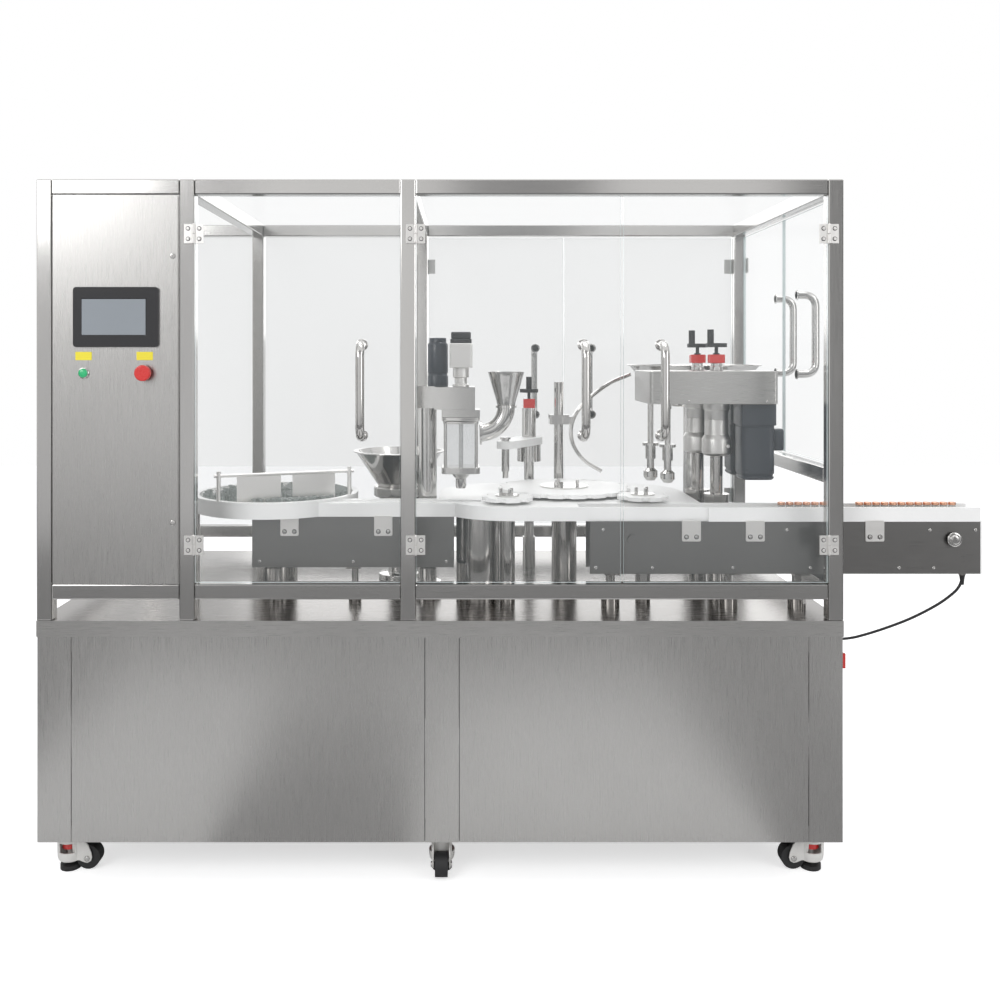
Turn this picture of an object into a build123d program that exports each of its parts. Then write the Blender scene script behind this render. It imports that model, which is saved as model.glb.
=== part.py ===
# Powder filling machine: a cabinet on levelling casters, a glazed enclosure and the line inside it.
# Millimetres, +X to the outfeed end, +Y to the back, +Z up.
# The origin is on the floor, under the middle of the overall box.
import os
from math import cos
from math import pi
from math import radians
from math import sin

from build123d import *

os.makedirs("parts", exist_ok=True)

# Driving sizes of the whole machine
overall_length = 2410
cabinet_length = 2020
cabinet_depth = 900
overall_height = 1760
deck_height = 655
caster_height = 100

left = -overall_length / 2
right = left + cabinet_length
line_inset = 1205
line_zero = left + line_inset
front = -cabinet_depth / 2
back = cabinet_depth / 2

# Clearances
weld_gap = 0.2
seat_gap = 0.3
running_fit = 0.05
sheet_inset = 2

# Cabinet
pillar_width = 84
pillar_depth = 50
middle_pillar_x = line_zero - 190
rail_size = 40
rail_wall = 2
sheet = 2
panel_seam = 2
deck_lip = 40
deck_sheet = 3

# Enclosure frame
tube = 38
tube_wall = 1.5
post_x = [left + tube / 2, left + 376, left + 930, right - tube / 2]
lower_rail_height = 708
side_rail_height = 996
pane = 8
pane_gap = 4
top_pane = 5

# Doors
hinge_leaf_height = 48
hinge_leaf_width = 24
hinge_leaf_thickness = 3
knuckle_radius = 4.5
hinge_pin_radius = 2.2
hinge_inset = 95
handle_radius = 11
handle_span = 226
handle_reach = 55
handle_bend = 26
handle_edge = 92
door_handle_height = 1232
side_handle_height = 1379
rear_meeting_x = line_zero + 205

# Work level
table_top = 925
table_thickness = 36
plate_top = table_top - table_thickness
plate_bottom = 754
guide_height = 35


def tube_along_z(x, y, low, high, width, depth, wall):
    """Square tube standing between two heights, added to the part under way."""
    with BuildSketch(Plane.XY.offset(low)) as outline:
        with Locations((x, y)):
            Rectangle(width, depth)
            Rectangle(width - 2 * wall, depth - 2 * wall, mode=Mode.SUBTRACT)
    extrude(outline.sketch, amount=high - low)


def tube_along_x(start, end, y, z, depth, height, wall):
    """Square tube lying along X, with its middle line at y and z."""
    with BuildSketch(Plane.YZ.offset(start)) as outline:
        with Locations((y, z)):
            Rectangle(depth, height)
            Rectangle(depth - 2 * wall, height - 2 * wall, mode=Mode.SUBTRACT)
    extrude(outline.sketch, amount=end - start)


def tube_along_y(start, end, x, z, width, height, wall):
    """Square tube lying along Y, with its middle line at x and z."""
    with BuildSketch(Plane.XZ.offset(-start)) as outline:
        with Locations((x, z)):
            Rectangle(width, height)
            Rectangle(width - 2 * wall, height - 2 * wall, mode=Mode.SUBTRACT)
    extrude(outline.sketch, amount=start - end)


def block(x_low, x_high, y_low, y_high, low, high, mode=Mode.ADD):
    """Plain rectangular block between two corners."""
    with BuildSketch(Plane.XY.offset(low)) as outline:
        with Locations(((x_low + x_high) / 2, (y_low + y_high) / 2)):
            Rectangle(x_high - x_low, y_high - y_low)
    extrude(outline.sketch, amount=high - low, mode=mode)


def rod(x, y, low, high, radius, mode=Mode.ADD):
    """Round bar standing between two heights."""
    with BuildSketch(Plane.XY.offset(low)) as outline:
        with Locations((x, y)):
            Circle(radius)
    extrude(outline.sketch, amount=high - low, mode=mode)


def ring(x, y, low, high, outer, inner):
    """Round tube standing between two heights."""
    with BuildSketch(Plane.XY.offset(low)) as outline:
        with Locations((x, y)):
            Circle(outer)
            Circle(inner, mode=Mode.SUBTRACT)
    extrude(outline.sketch, amount=high - low)


def turned(x, y, profile):
    """Solid turned about a vertical line from (radius, height) points."""
    with BuildSketch(Plane(origin=(x, y, 0), x_dir=(1, 0, 0), z_dir=(0, -1, 0))) as outline:
        with BuildLine():
            Polyline(*profile, close=True)
        make_face()
    revolve(outline.sketch, axis=Axis((x, y, 0), (0, 0, 1)))


def save(piece, name):
    """Label a finished piece and write it to its own file."""
    piece.part.label = name
    export_step(piece.part, "parts/" + name + ".step")


# Base frame: pillars and rails, each tube its own solid with a weld gap
pillar_x = [
    left + sheet_inset + pillar_width / 2,
    middle_pillar_x,
    right - sheet_inset - pillar_width / 2,
]
pillar_y = [
    front + sheet_inset + pillar_depth / 2,
    back - sheet_inset - pillar_depth / 2,
]
pillar_top = deck_height - deck_lip - weld_gap
rail_y = [
    front + sheet_inset + sheet + seat_gap + rail_size / 2,
    back - sheet_inset - sheet - seat_gap - rail_size / 2,
]
cross_rail_x = [
    left + sheet_inset + sheet + seat_gap + rail_size / 2,
    middle_pillar_x,
    right - sheet_inset - sheet - seat_gap - rail_size / 2,
]
rail_z = [caster_height + rail_size / 2, pillar_top - rail_size / 2]

with BuildPart() as base_frame:
    for x in pillar_x:
        for y in pillar_y:
            tube_along_z(x, y, caster_height, pillar_top, pillar_width, pillar_depth, rail_wall)
    for z in rail_z:
        for y in rail_y:
            for near, far in zip(pillar_x, pillar_x[1:]):
                start = near + pillar_width / 2 + weld_gap
                end = far - pillar_width / 2 - weld_gap
                tube_along_x(start, end, y, z, rail_size, rail_size, rail_wall)
        for x in cross_rail_x:
            start = pillar_y[0] + pillar_depth / 2 + weld_gap
            end = pillar_y[1] - pillar_depth / 2 - weld_gap
            tube_along_y(start, end, x, z, rail_size, rail_size, rail_wall)
save(base_frame, "base_frame")

# Cover panels of the cabinet, set between the pillars with a dark seam round each
panel_low = caster_height + seat_gap
panel_high = pillar_top - seat_gap
side_panel_x = [left + sheet_inset, right - sheet_inset - sheet]
with BuildPart() as base_panels:
    for y in [front + sheet_inset, back - sheet_inset - sheet]:
        for near, far in zip(pillar_x, pillar_x[1:]):
            start = near + pillar_width / 2 + panel_seam
            end = far - pillar_width / 2 - panel_seam
            block(start, end, y, y + sheet, panel_low, panel_high)
    side_start = pillar_y[0] + pillar_depth / 2 + panel_seam
    side_end = pillar_y[1] - pillar_depth / 2 - panel_seam
    for x in side_panel_x:
        block(x, x + sheet, side_start, side_end, panel_low, panel_high)

# Deck: a folded steel tray, open below
with BuildPart() as deck_plate:
    block(left, right, front, back, deck_height - deck_lip, deck_height)
    block(
        left + deck_sheet,
        right - deck_sheet,
        front + deck_sheet,
        back - deck_sheet,
        deck_height - deck_lip,
        deck_height - deck_sheet,
        mode=Mode.SUBTRACT,
    )
save(deck_plate, "deck_plate")

# Levelling casters: stem, foot and hand wheel stand still, the fork swivels round the stem
caster_inset_x = 56
caster_inset_y = 80
caster_x = [left + caster_inset_x, middle_pillar_x - 2, right - caster_inset_x]
caster_y = [front + caster_inset_y, back - caster_inset_y]
caster_turn = [0, -90, 180]
mount_plate_x = 92
mount_plate_y = 74
mount_plate = 4
stem_radius = 8
foot_radius = 26
foot_height = 12
hand_wheel_radius = 21
hand_wheel_low = 54
hand_wheel_high = 66
fork_radius = 32
fork_bore = 27
fork_low = 22
fork_top = caster_height - mount_plate - seat_gap
fork_cap = 14
fork_window_low = 48
fork_window_high = 72
fork_window_half = 16
wheel_radius = 30
wheel_width = 32
wheel_lift = 2
wheel_offset = 50
wheel_clearance = 2
cheek = 5
axle_radius = 5

caster_places = []
for row, y in enumerate(caster_y):
    for column, x in enumerate(caster_x):
        turn = caster_turn[column] if row == 0 else -caster_turn[column]
        caster_places.append((x, y, turn))

foot_profile = [
    (0, 0),
    (foot_radius, 0),
    (foot_radius, foot_height),
    (stem_radius, foot_height + 4),
    (stem_radius, hand_wheel_low),
    (hand_wheel_radius, hand_wheel_low),
    (hand_wheel_radius, hand_wheel_high),
    (stem_radius, hand_wheel_high),
    (stem_radius, caster_height - mount_plate),
    (0, caster_height - mount_plate),
]
with BuildPart() as caster_mounts:
    for x, y, turn in caster_places:
        turned(x, y, foot_profile)
        block(
            x - mount_plate_x / 2,
            x + mount_plate_x / 2,
            y - mount_plate_y / 2,
            y + mount_plate_y / 2,
            caster_height - mount_plate,
            caster_height - weld_gap,
        )
save(caster_mounts, "caster_mounts")

cheek_y = wheel_width / 2 + wheel_clearance + cheek / 2
wheel_height = wheel_radius + wheel_lift


def caster_plane(x, y, turn, height):
    """Level plane at a caster, with its X towards the wheel."""
    ahead = (cos(radians(turn)), sin(radians(turn)), 0)
    return Plane(origin=(x, y, height), x_dir=ahead, z_dir=(0, 0, 1))


def make_caster_body(x, y, turn):
    """Cast fork: a bell round the stem with a hand hole each side, and two cheeks to the axle."""
    with BuildPart() as body:
        with BuildSketch(caster_plane(x, y, turn, fork_low)):
            Circle(fork_radius)
            for side in [-1, 1]:
                with Locations((wheel_offset / 2, side * cheek_y)):
                    Rectangle(wheel_offset + 2 * axle_radius + 8, cheek)
        extrude(amount=fork_window_low - fork_low)
        with BuildSketch(caster_plane(x, y, turn, fork_window_low)):
            Circle(fork_radius)
        extrude(amount=fork_top - fork_window_low)
        with BuildSketch(caster_plane(x, y, turn, fork_low)):
            Circle(fork_bore)
        extrude(amount=fork_top - fork_cap - fork_low, mode=Mode.SUBTRACT)
        with BuildSketch(caster_plane(x, y, turn, fork_low)):
            Circle(stem_radius + running_fit)
        extrude(amount=fork_top - fork_low, mode=Mode.SUBTRACT)
        with BuildSketch(caster_plane(x, y, turn, fork_window_low)):
            Rectangle(2 * fork_radius + 2, 2 * fork_window_half)
        extrude(amount=fork_window_high - fork_window_low, mode=Mode.SUBTRACT)
        side_plane = caster_plane(x, y, turn, 0)
        wheel_plane = Plane(
            origin=side_plane.from_local_coords((wheel_offset, 0, wheel_height)),
            x_dir=side_plane.x_dir,
            z_dir=side_plane.y_dir,
        )
        with BuildSketch(wheel_plane):
            Circle(wheel_radius + wheel_clearance)
        extrude(amount=wheel_width / 2 + wheel_clearance, both=True, mode=Mode.SUBTRACT)
        with BuildSketch(wheel_plane):
            Circle(axle_radius)
        extrude(amount=cheek_y, both=True)
    return body


def make_caster_wheel(x, y, turn):
    """Tyred wheel with a hub bore for the axle and a hollow each side."""
    side_plane = caster_plane(x, y, turn, 0)
    wheel_plane = Plane(
        origin=side_plane.from_local_coords((wheel_offset, 0, wheel_height)),
        x_dir=side_plane.x_dir,
        z_dir=side_plane.y_dir,
    )
    with BuildPart() as wheel:
        with BuildSketch(wheel_plane):
            Circle(wheel_radius)
            Circle(axle_radius + running_fit, mode=Mode.SUBTRACT)
        extrude(amount=wheel_width / 2, both=True)
    return wheel


for number, place in enumerate(caster_places, start=1):
    save(make_caster_body(*place), "caster_body_" + str(number))
    save(make_caster_wheel(*place), "caster_wheel_" + str(number))

# Enclosure: posts, top rails, lower rails and one rail over the outfeed opening
post_y = [front + tube / 2, back - tube / 2]
top_rail_z = overall_height - tube / 2
lower_rail_z = lower_rail_height + tube / 2
side_rail_z = side_rail_height + tube / 2
opening_low = lower_rail_height + tube
opening_high = overall_height - tube
depth_start = post_y[0] + tube / 2 + weld_gap
depth_end = post_y[1] - tube / 2 - weld_gap

with BuildPart() as enclosure_frame:
    for x in post_x:
        for y in post_y:
            tube_along_z(x, y, deck_height + weld_gap, overall_height, tube, tube, tube_wall)
        tube_along_y(depth_start, depth_end, x, top_rail_z, tube, tube, tube_wall)
    for z in [lower_rail_z, top_rail_z]:
        for y in post_y:
            for near, far in zip(post_x, post_x[1:]):
                start = near + tube / 2 + weld_gap
                end = far - tube / 2 - weld_gap
                tube_along_x(start, end, y, z, tube, tube, tube_wall)
    for x in [post_x[0], post_x[3]]:
        tube_along_y(depth_start, depth_end, x, lower_rail_z, tube, tube, tube_wall)
    tube_along_y(depth_start, depth_end, post_x[3], side_rail_z, tube, tube, tube_wall)

# Windows that do not open: three in the roof, two at the back and one at the left end
with BuildPart() as fixed_windows:
    for near, far in zip(post_x, post_x[1:]):
        block(
            near + tube / 2 + seat_gap,
            far - tube / 2 - seat_gap,
            post_y[0] + tube / 2 + seat_gap,
            post_y[1] - tube / 2 - seat_gap,
            top_rail_z - top_pane / 2,
            top_rail_z + top_pane / 2,
        )
    for near, far in zip(post_x[:2], post_x[1:3]):
        block(
            near + tube / 2 + seat_gap,
            far - tube / 2 - seat_gap,
            post_y[1] - pane / 2,
            post_y[1] + pane / 2,
            opening_low + seat_gap,
            opening_high - seat_gap,
        )
    block(
        post_x[0] - pane / 2,
        post_x[0] + pane / 2,
        post_y[0] + tube / 2 + seat_gap,
        post_y[1] - tube / 2 - seat_gap,
        opening_low + seat_gap,
        opening_high - seat_gap,
    )
save(fixed_windows, "fixed_windows")

# Doors: each stands flush in its opening and turns on two lift-off hinges
knuckle_out = knuckle_radius
door_low = opening_low + pane_gap
door_high = opening_high - pane_gap
side_door_low = side_rail_height + tube + pane_gap
hinge_low = hinge_leaf_height / 2


def hinge_heights(low, high):
    """Middle heights of the two hinges of a door."""
    return [low + hinge_inset, high - hinge_inset]


def make_door(hinge, along, outward, width, low, high, grip_height):
    """Pane, bent tube handle and the door's own hinge leaves, round a hinge line.

    hinge is the hinge line's place, along points from it over the pane,
    and outward is 1 where the plane's Y leaves the machine, else -1.
    """
    base = Plane(origin=(hinge[0], hinge[1], 0), x_dir=along, z_dir=(0, 0, 1))
    pane_start = pane_gap / 2
    pane_middle = -outward * (knuckle_out + pane / 2)
    leaf_middle = -outward * (knuckle_out - weld_gap - hinge_leaf_thickness / 2)
    with BuildPart() as door:
        with BuildSketch(base.offset(low)):
            with Locations((pane_start + width / 2, pane_middle)):
                Rectangle(width, pane)
        extrude(amount=high - low)
        for height in hinge_heights(low, high):
            with BuildSketch(base.offset(height - hinge_low)):
                with Locations((hinge_leaf_width / 2, leaf_middle)):
                    Rectangle(hinge_leaf_width, hinge_leaf_thickness)
            extrude(amount=hinge_leaf_height)
            with BuildSketch(base.offset(height - hinge_low)):
                Circle(knuckle_radius + seat_gap)
            extrude(amount=hinge_low, mode=Mode.SUBTRACT)
            with BuildSketch(base.offset(height + seat_gap)):
                Circle(knuckle_radius)
            extrude(amount=hinge_low - seat_gap)
            with BuildSketch(base.offset(height)):
                Circle(hinge_pin_radius + running_fit)
            extrude(amount=hinge_low, mode=Mode.SUBTRACT)
        grip_x = width - handle_edge
        grip_foot = -outward * (knuckle_out - weld_gap)
        grip_out = grip_foot + outward * handle_reach
        low_foot = base.from_local_coords((grip_x, grip_foot, grip_height - handle_span / 2))
        low_bend = base.from_local_coords((grip_x, grip_out, grip_height - handle_span / 2))
        high_bend = base.from_local_coords((grip_x, grip_out, grip_height + handle_span / 2))
        high_foot = base.from_local_coords((grip_x, grip_foot, grip_height + handle_span / 2))
        with BuildLine() as grip_line:
            FilletPolyline(low_foot, low_bend, high_bend, high_foot, radius=handle_bend)
        with BuildSketch(Plane(origin=low_foot, z_dir=low_bend - low_foot)):
            Circle(handle_radius)
        sweep(path=grip_line.line)
    return door


front_hinge_y = front - knuckle_out
back_hinge_y = back + knuckle_out
side_hinge_x = right + knuckle_out
bay_start = [x + tube / 2 for x in post_x[:3]]
bay_end = [x - tube / 2 for x in post_x[1:]]
front_meeting_x = (bay_start[2] + bay_end[2]) / 2
side_start = post_y[0] + tube / 2
side_end = post_y[1] - tube / 2

# name: hinge line, direction over the pane, outward sign, width, lower edge, handle height
left_door_width = bay_end[1] - bay_start[1] - pane_gap
front_leaf_width = front_meeting_x - bay_start[2] - 1.5 * pane_gap / 2 - pane_gap / 2
rear_inner_width = rear_meeting_x - bay_start[2] - pane_gap
rear_outer_width = bay_end[2] - rear_meeting_x - pane_gap
side_leaf_width = (side_end - side_start) / 2 - pane_gap
to_right = (1, 0, 0)
to_left = (-1, 0, 0)
to_back = (0, 1, 0)
to_front = (0, -1, 0)

front_door_left = make_door(
    (bay_start[1], front_hinge_y), to_right, -1, left_door_width, door_low, door_high, door_handle_height
)
save(front_door_left, "front_door_left")
front_door_middle = make_door(
    (bay_start[2], front_hinge_y), to_right, -1, front_leaf_width, door_low, door_high, door_handle_height
)
save(front_door_middle, "front_door_middle")
front_door_right = make_door(
    (bay_end[2], front_hinge_y), to_left, 1, front_leaf_width, door_low, door_high, door_handle_height
)
save(front_door_right, "front_door_right")
rear_door_inner = make_door(
    (bay_start[2], back_hinge_y), to_right, 1, rear_inner_width, door_low, door_high, door_handle_height
)
save(rear_door_inner, "rear_door_inner")
rear_door_outer = make_door(
    (bay_end[2], back_hinge_y), to_left, -1, rear_outer_width, door_low, door_high, door_handle_height
)
save(rear_door_outer, "rear_door_outer")
side_door_front = make_door(
    (side_hinge_x, side_start), to_back, -1, side_leaf_width, side_door_low, door_high, side_handle_height
)
save(side_door_front, "side_door_front")
side_door_rear = make_door(
    (side_hinge_x, side_end), to_front, 1, side_leaf_width, side_door_low, door_high, side_handle_height
)
save(side_door_rear, "side_door_rear")


def add_frame_leaf(hinge, along, outward, height):
    """Fixed half of one hinge: leaf on the post, lower knuckle and the pin."""
    base = Plane(origin=(hinge[0], hinge[1], 0), x_dir=along, z_dir=(0, 0, 1))
    leaf_middle = -outward * (knuckle_out - weld_gap - hinge_leaf_thickness / 2)
    with BuildPart(mode=Mode.PRIVATE) as leaf:
        with BuildSketch(base.offset(height - hinge_low)):
            with Locations((-hinge_leaf_width / 2, leaf_middle)):
                Rectangle(hinge_leaf_width, hinge_leaf_thickness)
        extrude(amount=hinge_leaf_height)
        with BuildSketch(base.offset(height)):
            Circle(knuckle_radius + seat_gap)
        extrude(amount=hinge_low, mode=Mode.SUBTRACT)
        with BuildSketch(base.offset(height - hinge_low)):
            Circle(knuckle_radius)
        extrude(amount=hinge_low)
        with BuildSketch(base.offset(height)):
            Circle(hinge_pin_radius)
        extrude(amount=hinge_low - 2)
    return leaf.part


door_hinges = [
    ((bay_start[1], front_hinge_y), to_right, -1, door_low),
    ((bay_start[2], front_hinge_y), to_right, -1, door_low),
    ((bay_end[2], front_hinge_y), to_left, 1, door_low),
    ((bay_start[2], back_hinge_y), to_right, 1, door_low),
    ((bay_end[2], back_hinge_y), to_left, -1, door_low),
    ((side_hinge_x, side_start), to_back, -1, side_door_low),
    ((side_hinge_x, side_end), to_front, 1, side_door_low),
]
with BuildPart() as hinge_frame_leaves:
    for hinge, along, outward, low in door_hinges:
        for height in hinge_heights(low, door_high):
            add(add_frame_leaf(hinge, along, outward, height))

# Control box: a folded shell behind the first bay of the front, closed by a hinged door
box_depth = 160
box_flange = 16
box_sheet = 2
box_left = post_x[0] + tube / 2 + seat_gap
box_right = post_x[1] - tube / 2 - seat_gap
box_front = front + tube / 4
box_low = opening_low + seat_gap
box_high = opening_high - seat_gap
door_seam = 3
control_door_thickness = 3
screen_x = left + 200
screen_z = 1415
bezel_length = 214
bezel_height = 150
bezel_depth = 7
bezel_corner = 6
screen_length = 160
screen_height = 90
screen_shift = -5
button_z = 1275
lamp_x = left + 118
stop_x = left + 271
lamp_radius = 14
lamp_out = 9
barrel_radius = 11
barrel_length = 40
stop_collar_radius = 15
stop_radius = 20
stop_cap = 12
stop_travel = 5
stop_stem_radius = 8
bore_clearance = 0.5

control_front = front + sheet_inset
control_back = control_front + control_door_thickness

with BuildPart() as control_box:
    block(box_left, box_right, control_back + seat_gap, front + box_depth, box_low, box_high)
    block(
        box_left + box_sheet,
        box_right - box_sheet,
        control_back + seat_gap + box_sheet,
        front + box_depth - box_sheet,
        box_low + box_sheet,
        box_high - box_sheet,
        mode=Mode.SUBTRACT,
    )
    block(
        box_left + box_flange,
        box_right - box_flange,
        control_back,
        control_back + 10,
        box_low + box_flange,
        box_high - box_flange,
        mode=Mode.SUBTRACT,
    )
save(control_box, "control_box")

face_plane = Plane(origin=(0, control_front, 0), x_dir=(1, 0, 0), z_dir=(0, -1, 0))


def face_prism(x, z, length, height, near, far, corner=0):
    """Prism on the control door, from near to far in front of its face."""
    with BuildSketch(face_plane.offset(near)) as outline:
        with Locations((x, z)):
            if corner > 0:
                RectangleRounded(length, height, corner)
            else:
                Rectangle(length, height)
    extrude(outline.sketch, amount=far - near)


def face_disc(x, z, radius, near, far, mode=Mode.ADD):
    """Round piece square to the control door, from near to far in front of its face."""
    with BuildSketch(face_plane.offset(near)) as outline:
        with Locations((x, z)):
            Circle(radius)
    extrude(outline.sketch, amount=far - near, mode=mode)


door_left = box_left + door_seam
door_right = box_right - door_seam
door_bottom = box_low + door_seam
door_top = box_high - door_seam
with BuildPart() as control_door:
    block(door_left, door_right, control_front, control_back, door_bottom, door_top)
    for x in [lamp_x, stop_x]:
        face_disc(x, button_z, barrel_radius + bore_clearance, -10, 10, mode=Mode.SUBTRACT)
save(control_door, "control_door")

with BuildPart() as screen_bezel:
    face_prism(screen_x, screen_z, bezel_length, bezel_height, weld_gap, bezel_depth, bezel_corner)
    with BuildSketch(face_plane.offset(bezel_depth)):
        with Locations((screen_x + screen_shift, screen_z)):
            Rectangle(screen_length, screen_height)
    extrude(amount=-3, mode=Mode.SUBTRACT)

with BuildPart() as screen_glass:
    face_prism(
        screen_x + screen_shift,
        screen_z,
        screen_length - 2 * seat_gap,
        screen_height - 2 * seat_gap,
        bezel_depth - 3 + weld_gap,
        bezel_depth - 1,
    )
save(screen_glass, "screen_glass")

with BuildPart() as pilot_lamp:
    face_disc(lamp_x, button_z, barrel_radius, -barrel_length, weld_gap)
    face_disc(lamp_x, button_z, lamp_radius, weld_gap, lamp_out - 3)
    face_disc(lamp_x, button_z, lamp_radius - 4, lamp_out - 3, lamp_out)

with BuildPart() as stop_collar:
    face_disc(stop_x, button_z, barrel_radius, -barrel_length, weld_gap)
    face_disc(stop_x, button_z, stop_collar_radius, weld_gap, 6)
    face_disc(stop_x, button_z, stop_stem_radius + running_fit, -barrel_length, 6, mode=Mode.SUBTRACT)

with BuildPart() as stop_button:
    face_disc(stop_x, button_z, stop_stem_radius, -barrel_length + 6, 6 + stop_travel + 2)
    face_disc(stop_x, button_z, stop_radius, 6 + stop_travel + 1, 6 + stop_travel + 1 + stop_cap)
    cap_rim = stop_button.edges().filter_by(GeomType.CIRCLE).sort_by(Axis.Y)[0]
    fillet(cap_rim, stop_cap / 3)
save(stop_button, "stop_button")

# Main switch on the right end of the cabinet: a turning handle on a plate
switch_y = front + 62
switch_z = 537
switch_plate_side = 54
switch_plate = 4
switch_radius = 19
switch_depth = 24
switch_grip = 9
switch_shaft_radius = 5

switch_face = Plane(origin=(right - sheet_inset, switch_y, switch_z), x_dir=(0, 1, 0), z_dir=(1, 0, 0))
with BuildPart() as switch_plate_part:
    with BuildSketch(switch_face.offset(weld_gap)):
        RectangleRounded(switch_plate_side, switch_plate_side, 5)
        Circle(switch_shaft_radius + running_fit, mode=Mode.SUBTRACT)
    extrude(amount=switch_plate)


with BuildPart() as main_switch:
    with BuildSketch(switch_face.offset(weld_gap + switch_plate + seat_gap)):
        Circle(switch_radius)
    extrude(amount=8)
    with BuildSketch(switch_face.offset(weld_gap + switch_plate + seat_gap + 8)):
        Rectangle(switch_grip, 2 * switch_radius)
    extrude(amount=switch_depth - 8)
    with BuildSketch(switch_face.offset(weld_gap + 1)):
        Circle(switch_shaft_radius)
    extrude(amount=switch_plate + 1)
save(main_switch, "main_switch")

# Unscrambling turntable: a turning disc inside a fixed white rim
turntable_x = line_zero - 667
turntable_y = -105
rim_radius = 230
rim_wall = 16
rim_top = 932
rim_post_radius = 9
rim_post_angles = [90, 200, 10]
disc_gap = 2
disc_top = 910
disc_thickness = 8
spindle_radius = 20
drive_radius = 58
drive_top = 872
bearing_depth = 40
guide_rod_radius = 5.5
guide_post_angles = [237, 343.5]
guide_bar_z = 998
guide_plate_height = 62
guide_plate_length = 118
guide_plate_thickness = 2

with BuildPart() as turntable_disc:
    rod(
        turntable_x,
        turntable_y,
        disc_top - disc_thickness,
        disc_top,
        rim_radius - rim_wall - disc_gap,
    )
    rod(turntable_x, turntable_y, drive_top - bearing_depth + seat_gap, disc_top - 1, spindle_radius)
    rod(turntable_x, turntable_y, disc_top - 1, disc_top + 6, 34)
save(turntable_disc, "turntable_disc")


def around(centre_x, centre_y, radius, angle):
    """Point on a circle, with the angle in degrees from +X."""
    return (centre_x + radius * cos(radians(angle)), centre_y + radius * sin(radians(angle)))


rim_middle = rim_radius - rim_wall / 2
guide_ends = [around(turntable_x, turntable_y, rim_middle, angle) for angle in guide_post_angles]
guide_start = Vector(guide_ends[0][0], guide_ends[0][1], guide_bar_z)
guide_end = Vector(guide_ends[1][0], guide_ends[1][1], guide_bar_z)
guide_way = (guide_end - guide_start).normalized()

with BuildPart() as turntable_rim:
    ring(turntable_x, turntable_y, plate_top, rim_top, rim_radius, rim_radius - rim_wall)
    for angle in rim_post_angles:
        x, y = around(turntable_x, turntable_y, rim_middle, angle)
        rod(x, y, deck_height + weld_gap, plate_top - weld_gap, rim_post_radius)

with BuildPart() as turntable_guides:
    for x, y in guide_ends:
        rod(x, y, rim_top + weld_gap, guide_bar_z + 12, guide_rod_radius)
    bar_plane = Plane(origin=guide_start - guide_way * 12, z_dir=guide_way)
    with BuildSketch(bar_plane):
        Circle(guide_rod_radius - 1)
    extrude(amount=(guide_end - guide_start).length + 24)
    for share in [0.3, 0.72]:
        middle = guide_start + guide_way * ((guide_end - guide_start).length * share)
        plate_plane = Plane(origin=(middle.X, middle.Y, disc_top + 3), x_dir=guide_way, z_dir=(0, 0, 1))
        with BuildSketch(plate_plane):
            Rectangle(guide_plate_length, guide_plate_thickness)
        extrude(amount=guide_bar_z - disc_top - 3)

# Table plate: one white plate carrying the star wheels, with a slide track from the turntable
table_x = line_zero + 147
table_y = -105
table_length = 702
table_depth = 507
table_corner = 200
conveyor_front = -365
conveyor_depth = 90
side_plate = 3
guide_width = 15
conveyor_back = conveyor_front + conveyor_depth
conveyor_middle = conveyor_front + conveyor_depth / 2
conveyor_start = line_zero + 191
conveyor_end = overall_length / 2
infeed_front = -285
infeed_back = infeed_front + conveyor_depth
infeed_start = line_zero - 700
infeed_end = line_zero - 162
infeed_middle = infeed_front + conveyor_depth / 2
track_width = 27
track_depth = 12
slot_start = line_zero + 165
slot_gap = 0.5
table_left = table_x - table_length / 2
table_right = table_x + table_length / 2
table_front = table_y - table_depth / 2

# Star wheels: pitch circles touch, and pockets keep one spacing on all three
main_pockets = 19
transfer_pockets = 7
pocket_pitch_radius = 10
main_pitch = main_pockets * pocket_pitch_radius
transfer_pitch = transfer_pockets * pocket_pitch_radius
pocket_radius = 12
star_rim_gap = 1.5
star_low = 933
star_thickness = 10
star_top = star_low + star_thickness
main_x = line_zero + 153
main_y = -79
infeed_star_angle = 228.75
outfeed_star_angle = -41.5
star_spacing = main_pitch + transfer_pitch
infeed_star = around(main_x, main_y, star_spacing, infeed_star_angle)
outfeed_star = around(main_x, main_y, star_spacing, outfeed_star_angle)
main_shaft = 18
transfer_shaft = 12
shaft_hole_gap = 4
hub_height = 4
main_hub = 69
transfer_hub = 32
hub_pin_radius = 4.5
hub_pin_height = 16

with BuildPart() as table_plate:
    with BuildSketch(Plane.XY.offset(plate_top)):
        with Locations((table_x, table_y)):
            RectangleRounded(table_length, table_depth, table_corner)
        with Locations(((table_x + table_right) / 2, (table_front + table_y) / 2)):
            Rectangle(table_right - table_x, table_y - table_front)
        with Locations(((infeed_start + table_x) / 2, infeed_middle)):
            Rectangle(table_x - infeed_start, conveyor_depth)
        with Locations((turntable_x, turntable_y)):
            Circle(rim_radius + seat_gap, mode=Mode.SUBTRACT)
        with Locations((infeed_start, infeed_middle)):
            Rectangle(2 * (turntable_x - infeed_start), 2 * conveyor_depth, mode=Mode.SUBTRACT)
    extrude(amount=table_thickness)
    block(
        slot_start,
        table_right + 10,
        conveyor_front + guide_width - slot_gap,
        conveyor_back - guide_width + slot_gap,
        plate_top,
        table_top,
        mode=Mode.SUBTRACT,
    )
    block(
        infeed_start,
        infeed_star[0] - transfer_pitch,
        infeed_middle - track_width / 2,
        infeed_middle + track_width / 2,
        table_top - track_depth,
        table_top,
        mode=Mode.SUBTRACT,
    )
    rod(main_x, main_y, plate_top, table_top, main_shaft + shaft_hole_gap, mode=Mode.SUBTRACT)
    for x, y in [infeed_star, outfeed_star]:
        rod(x, y, plate_top, table_top, transfer_shaft + shaft_hole_gap, mode=Mode.SUBTRACT)
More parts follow.
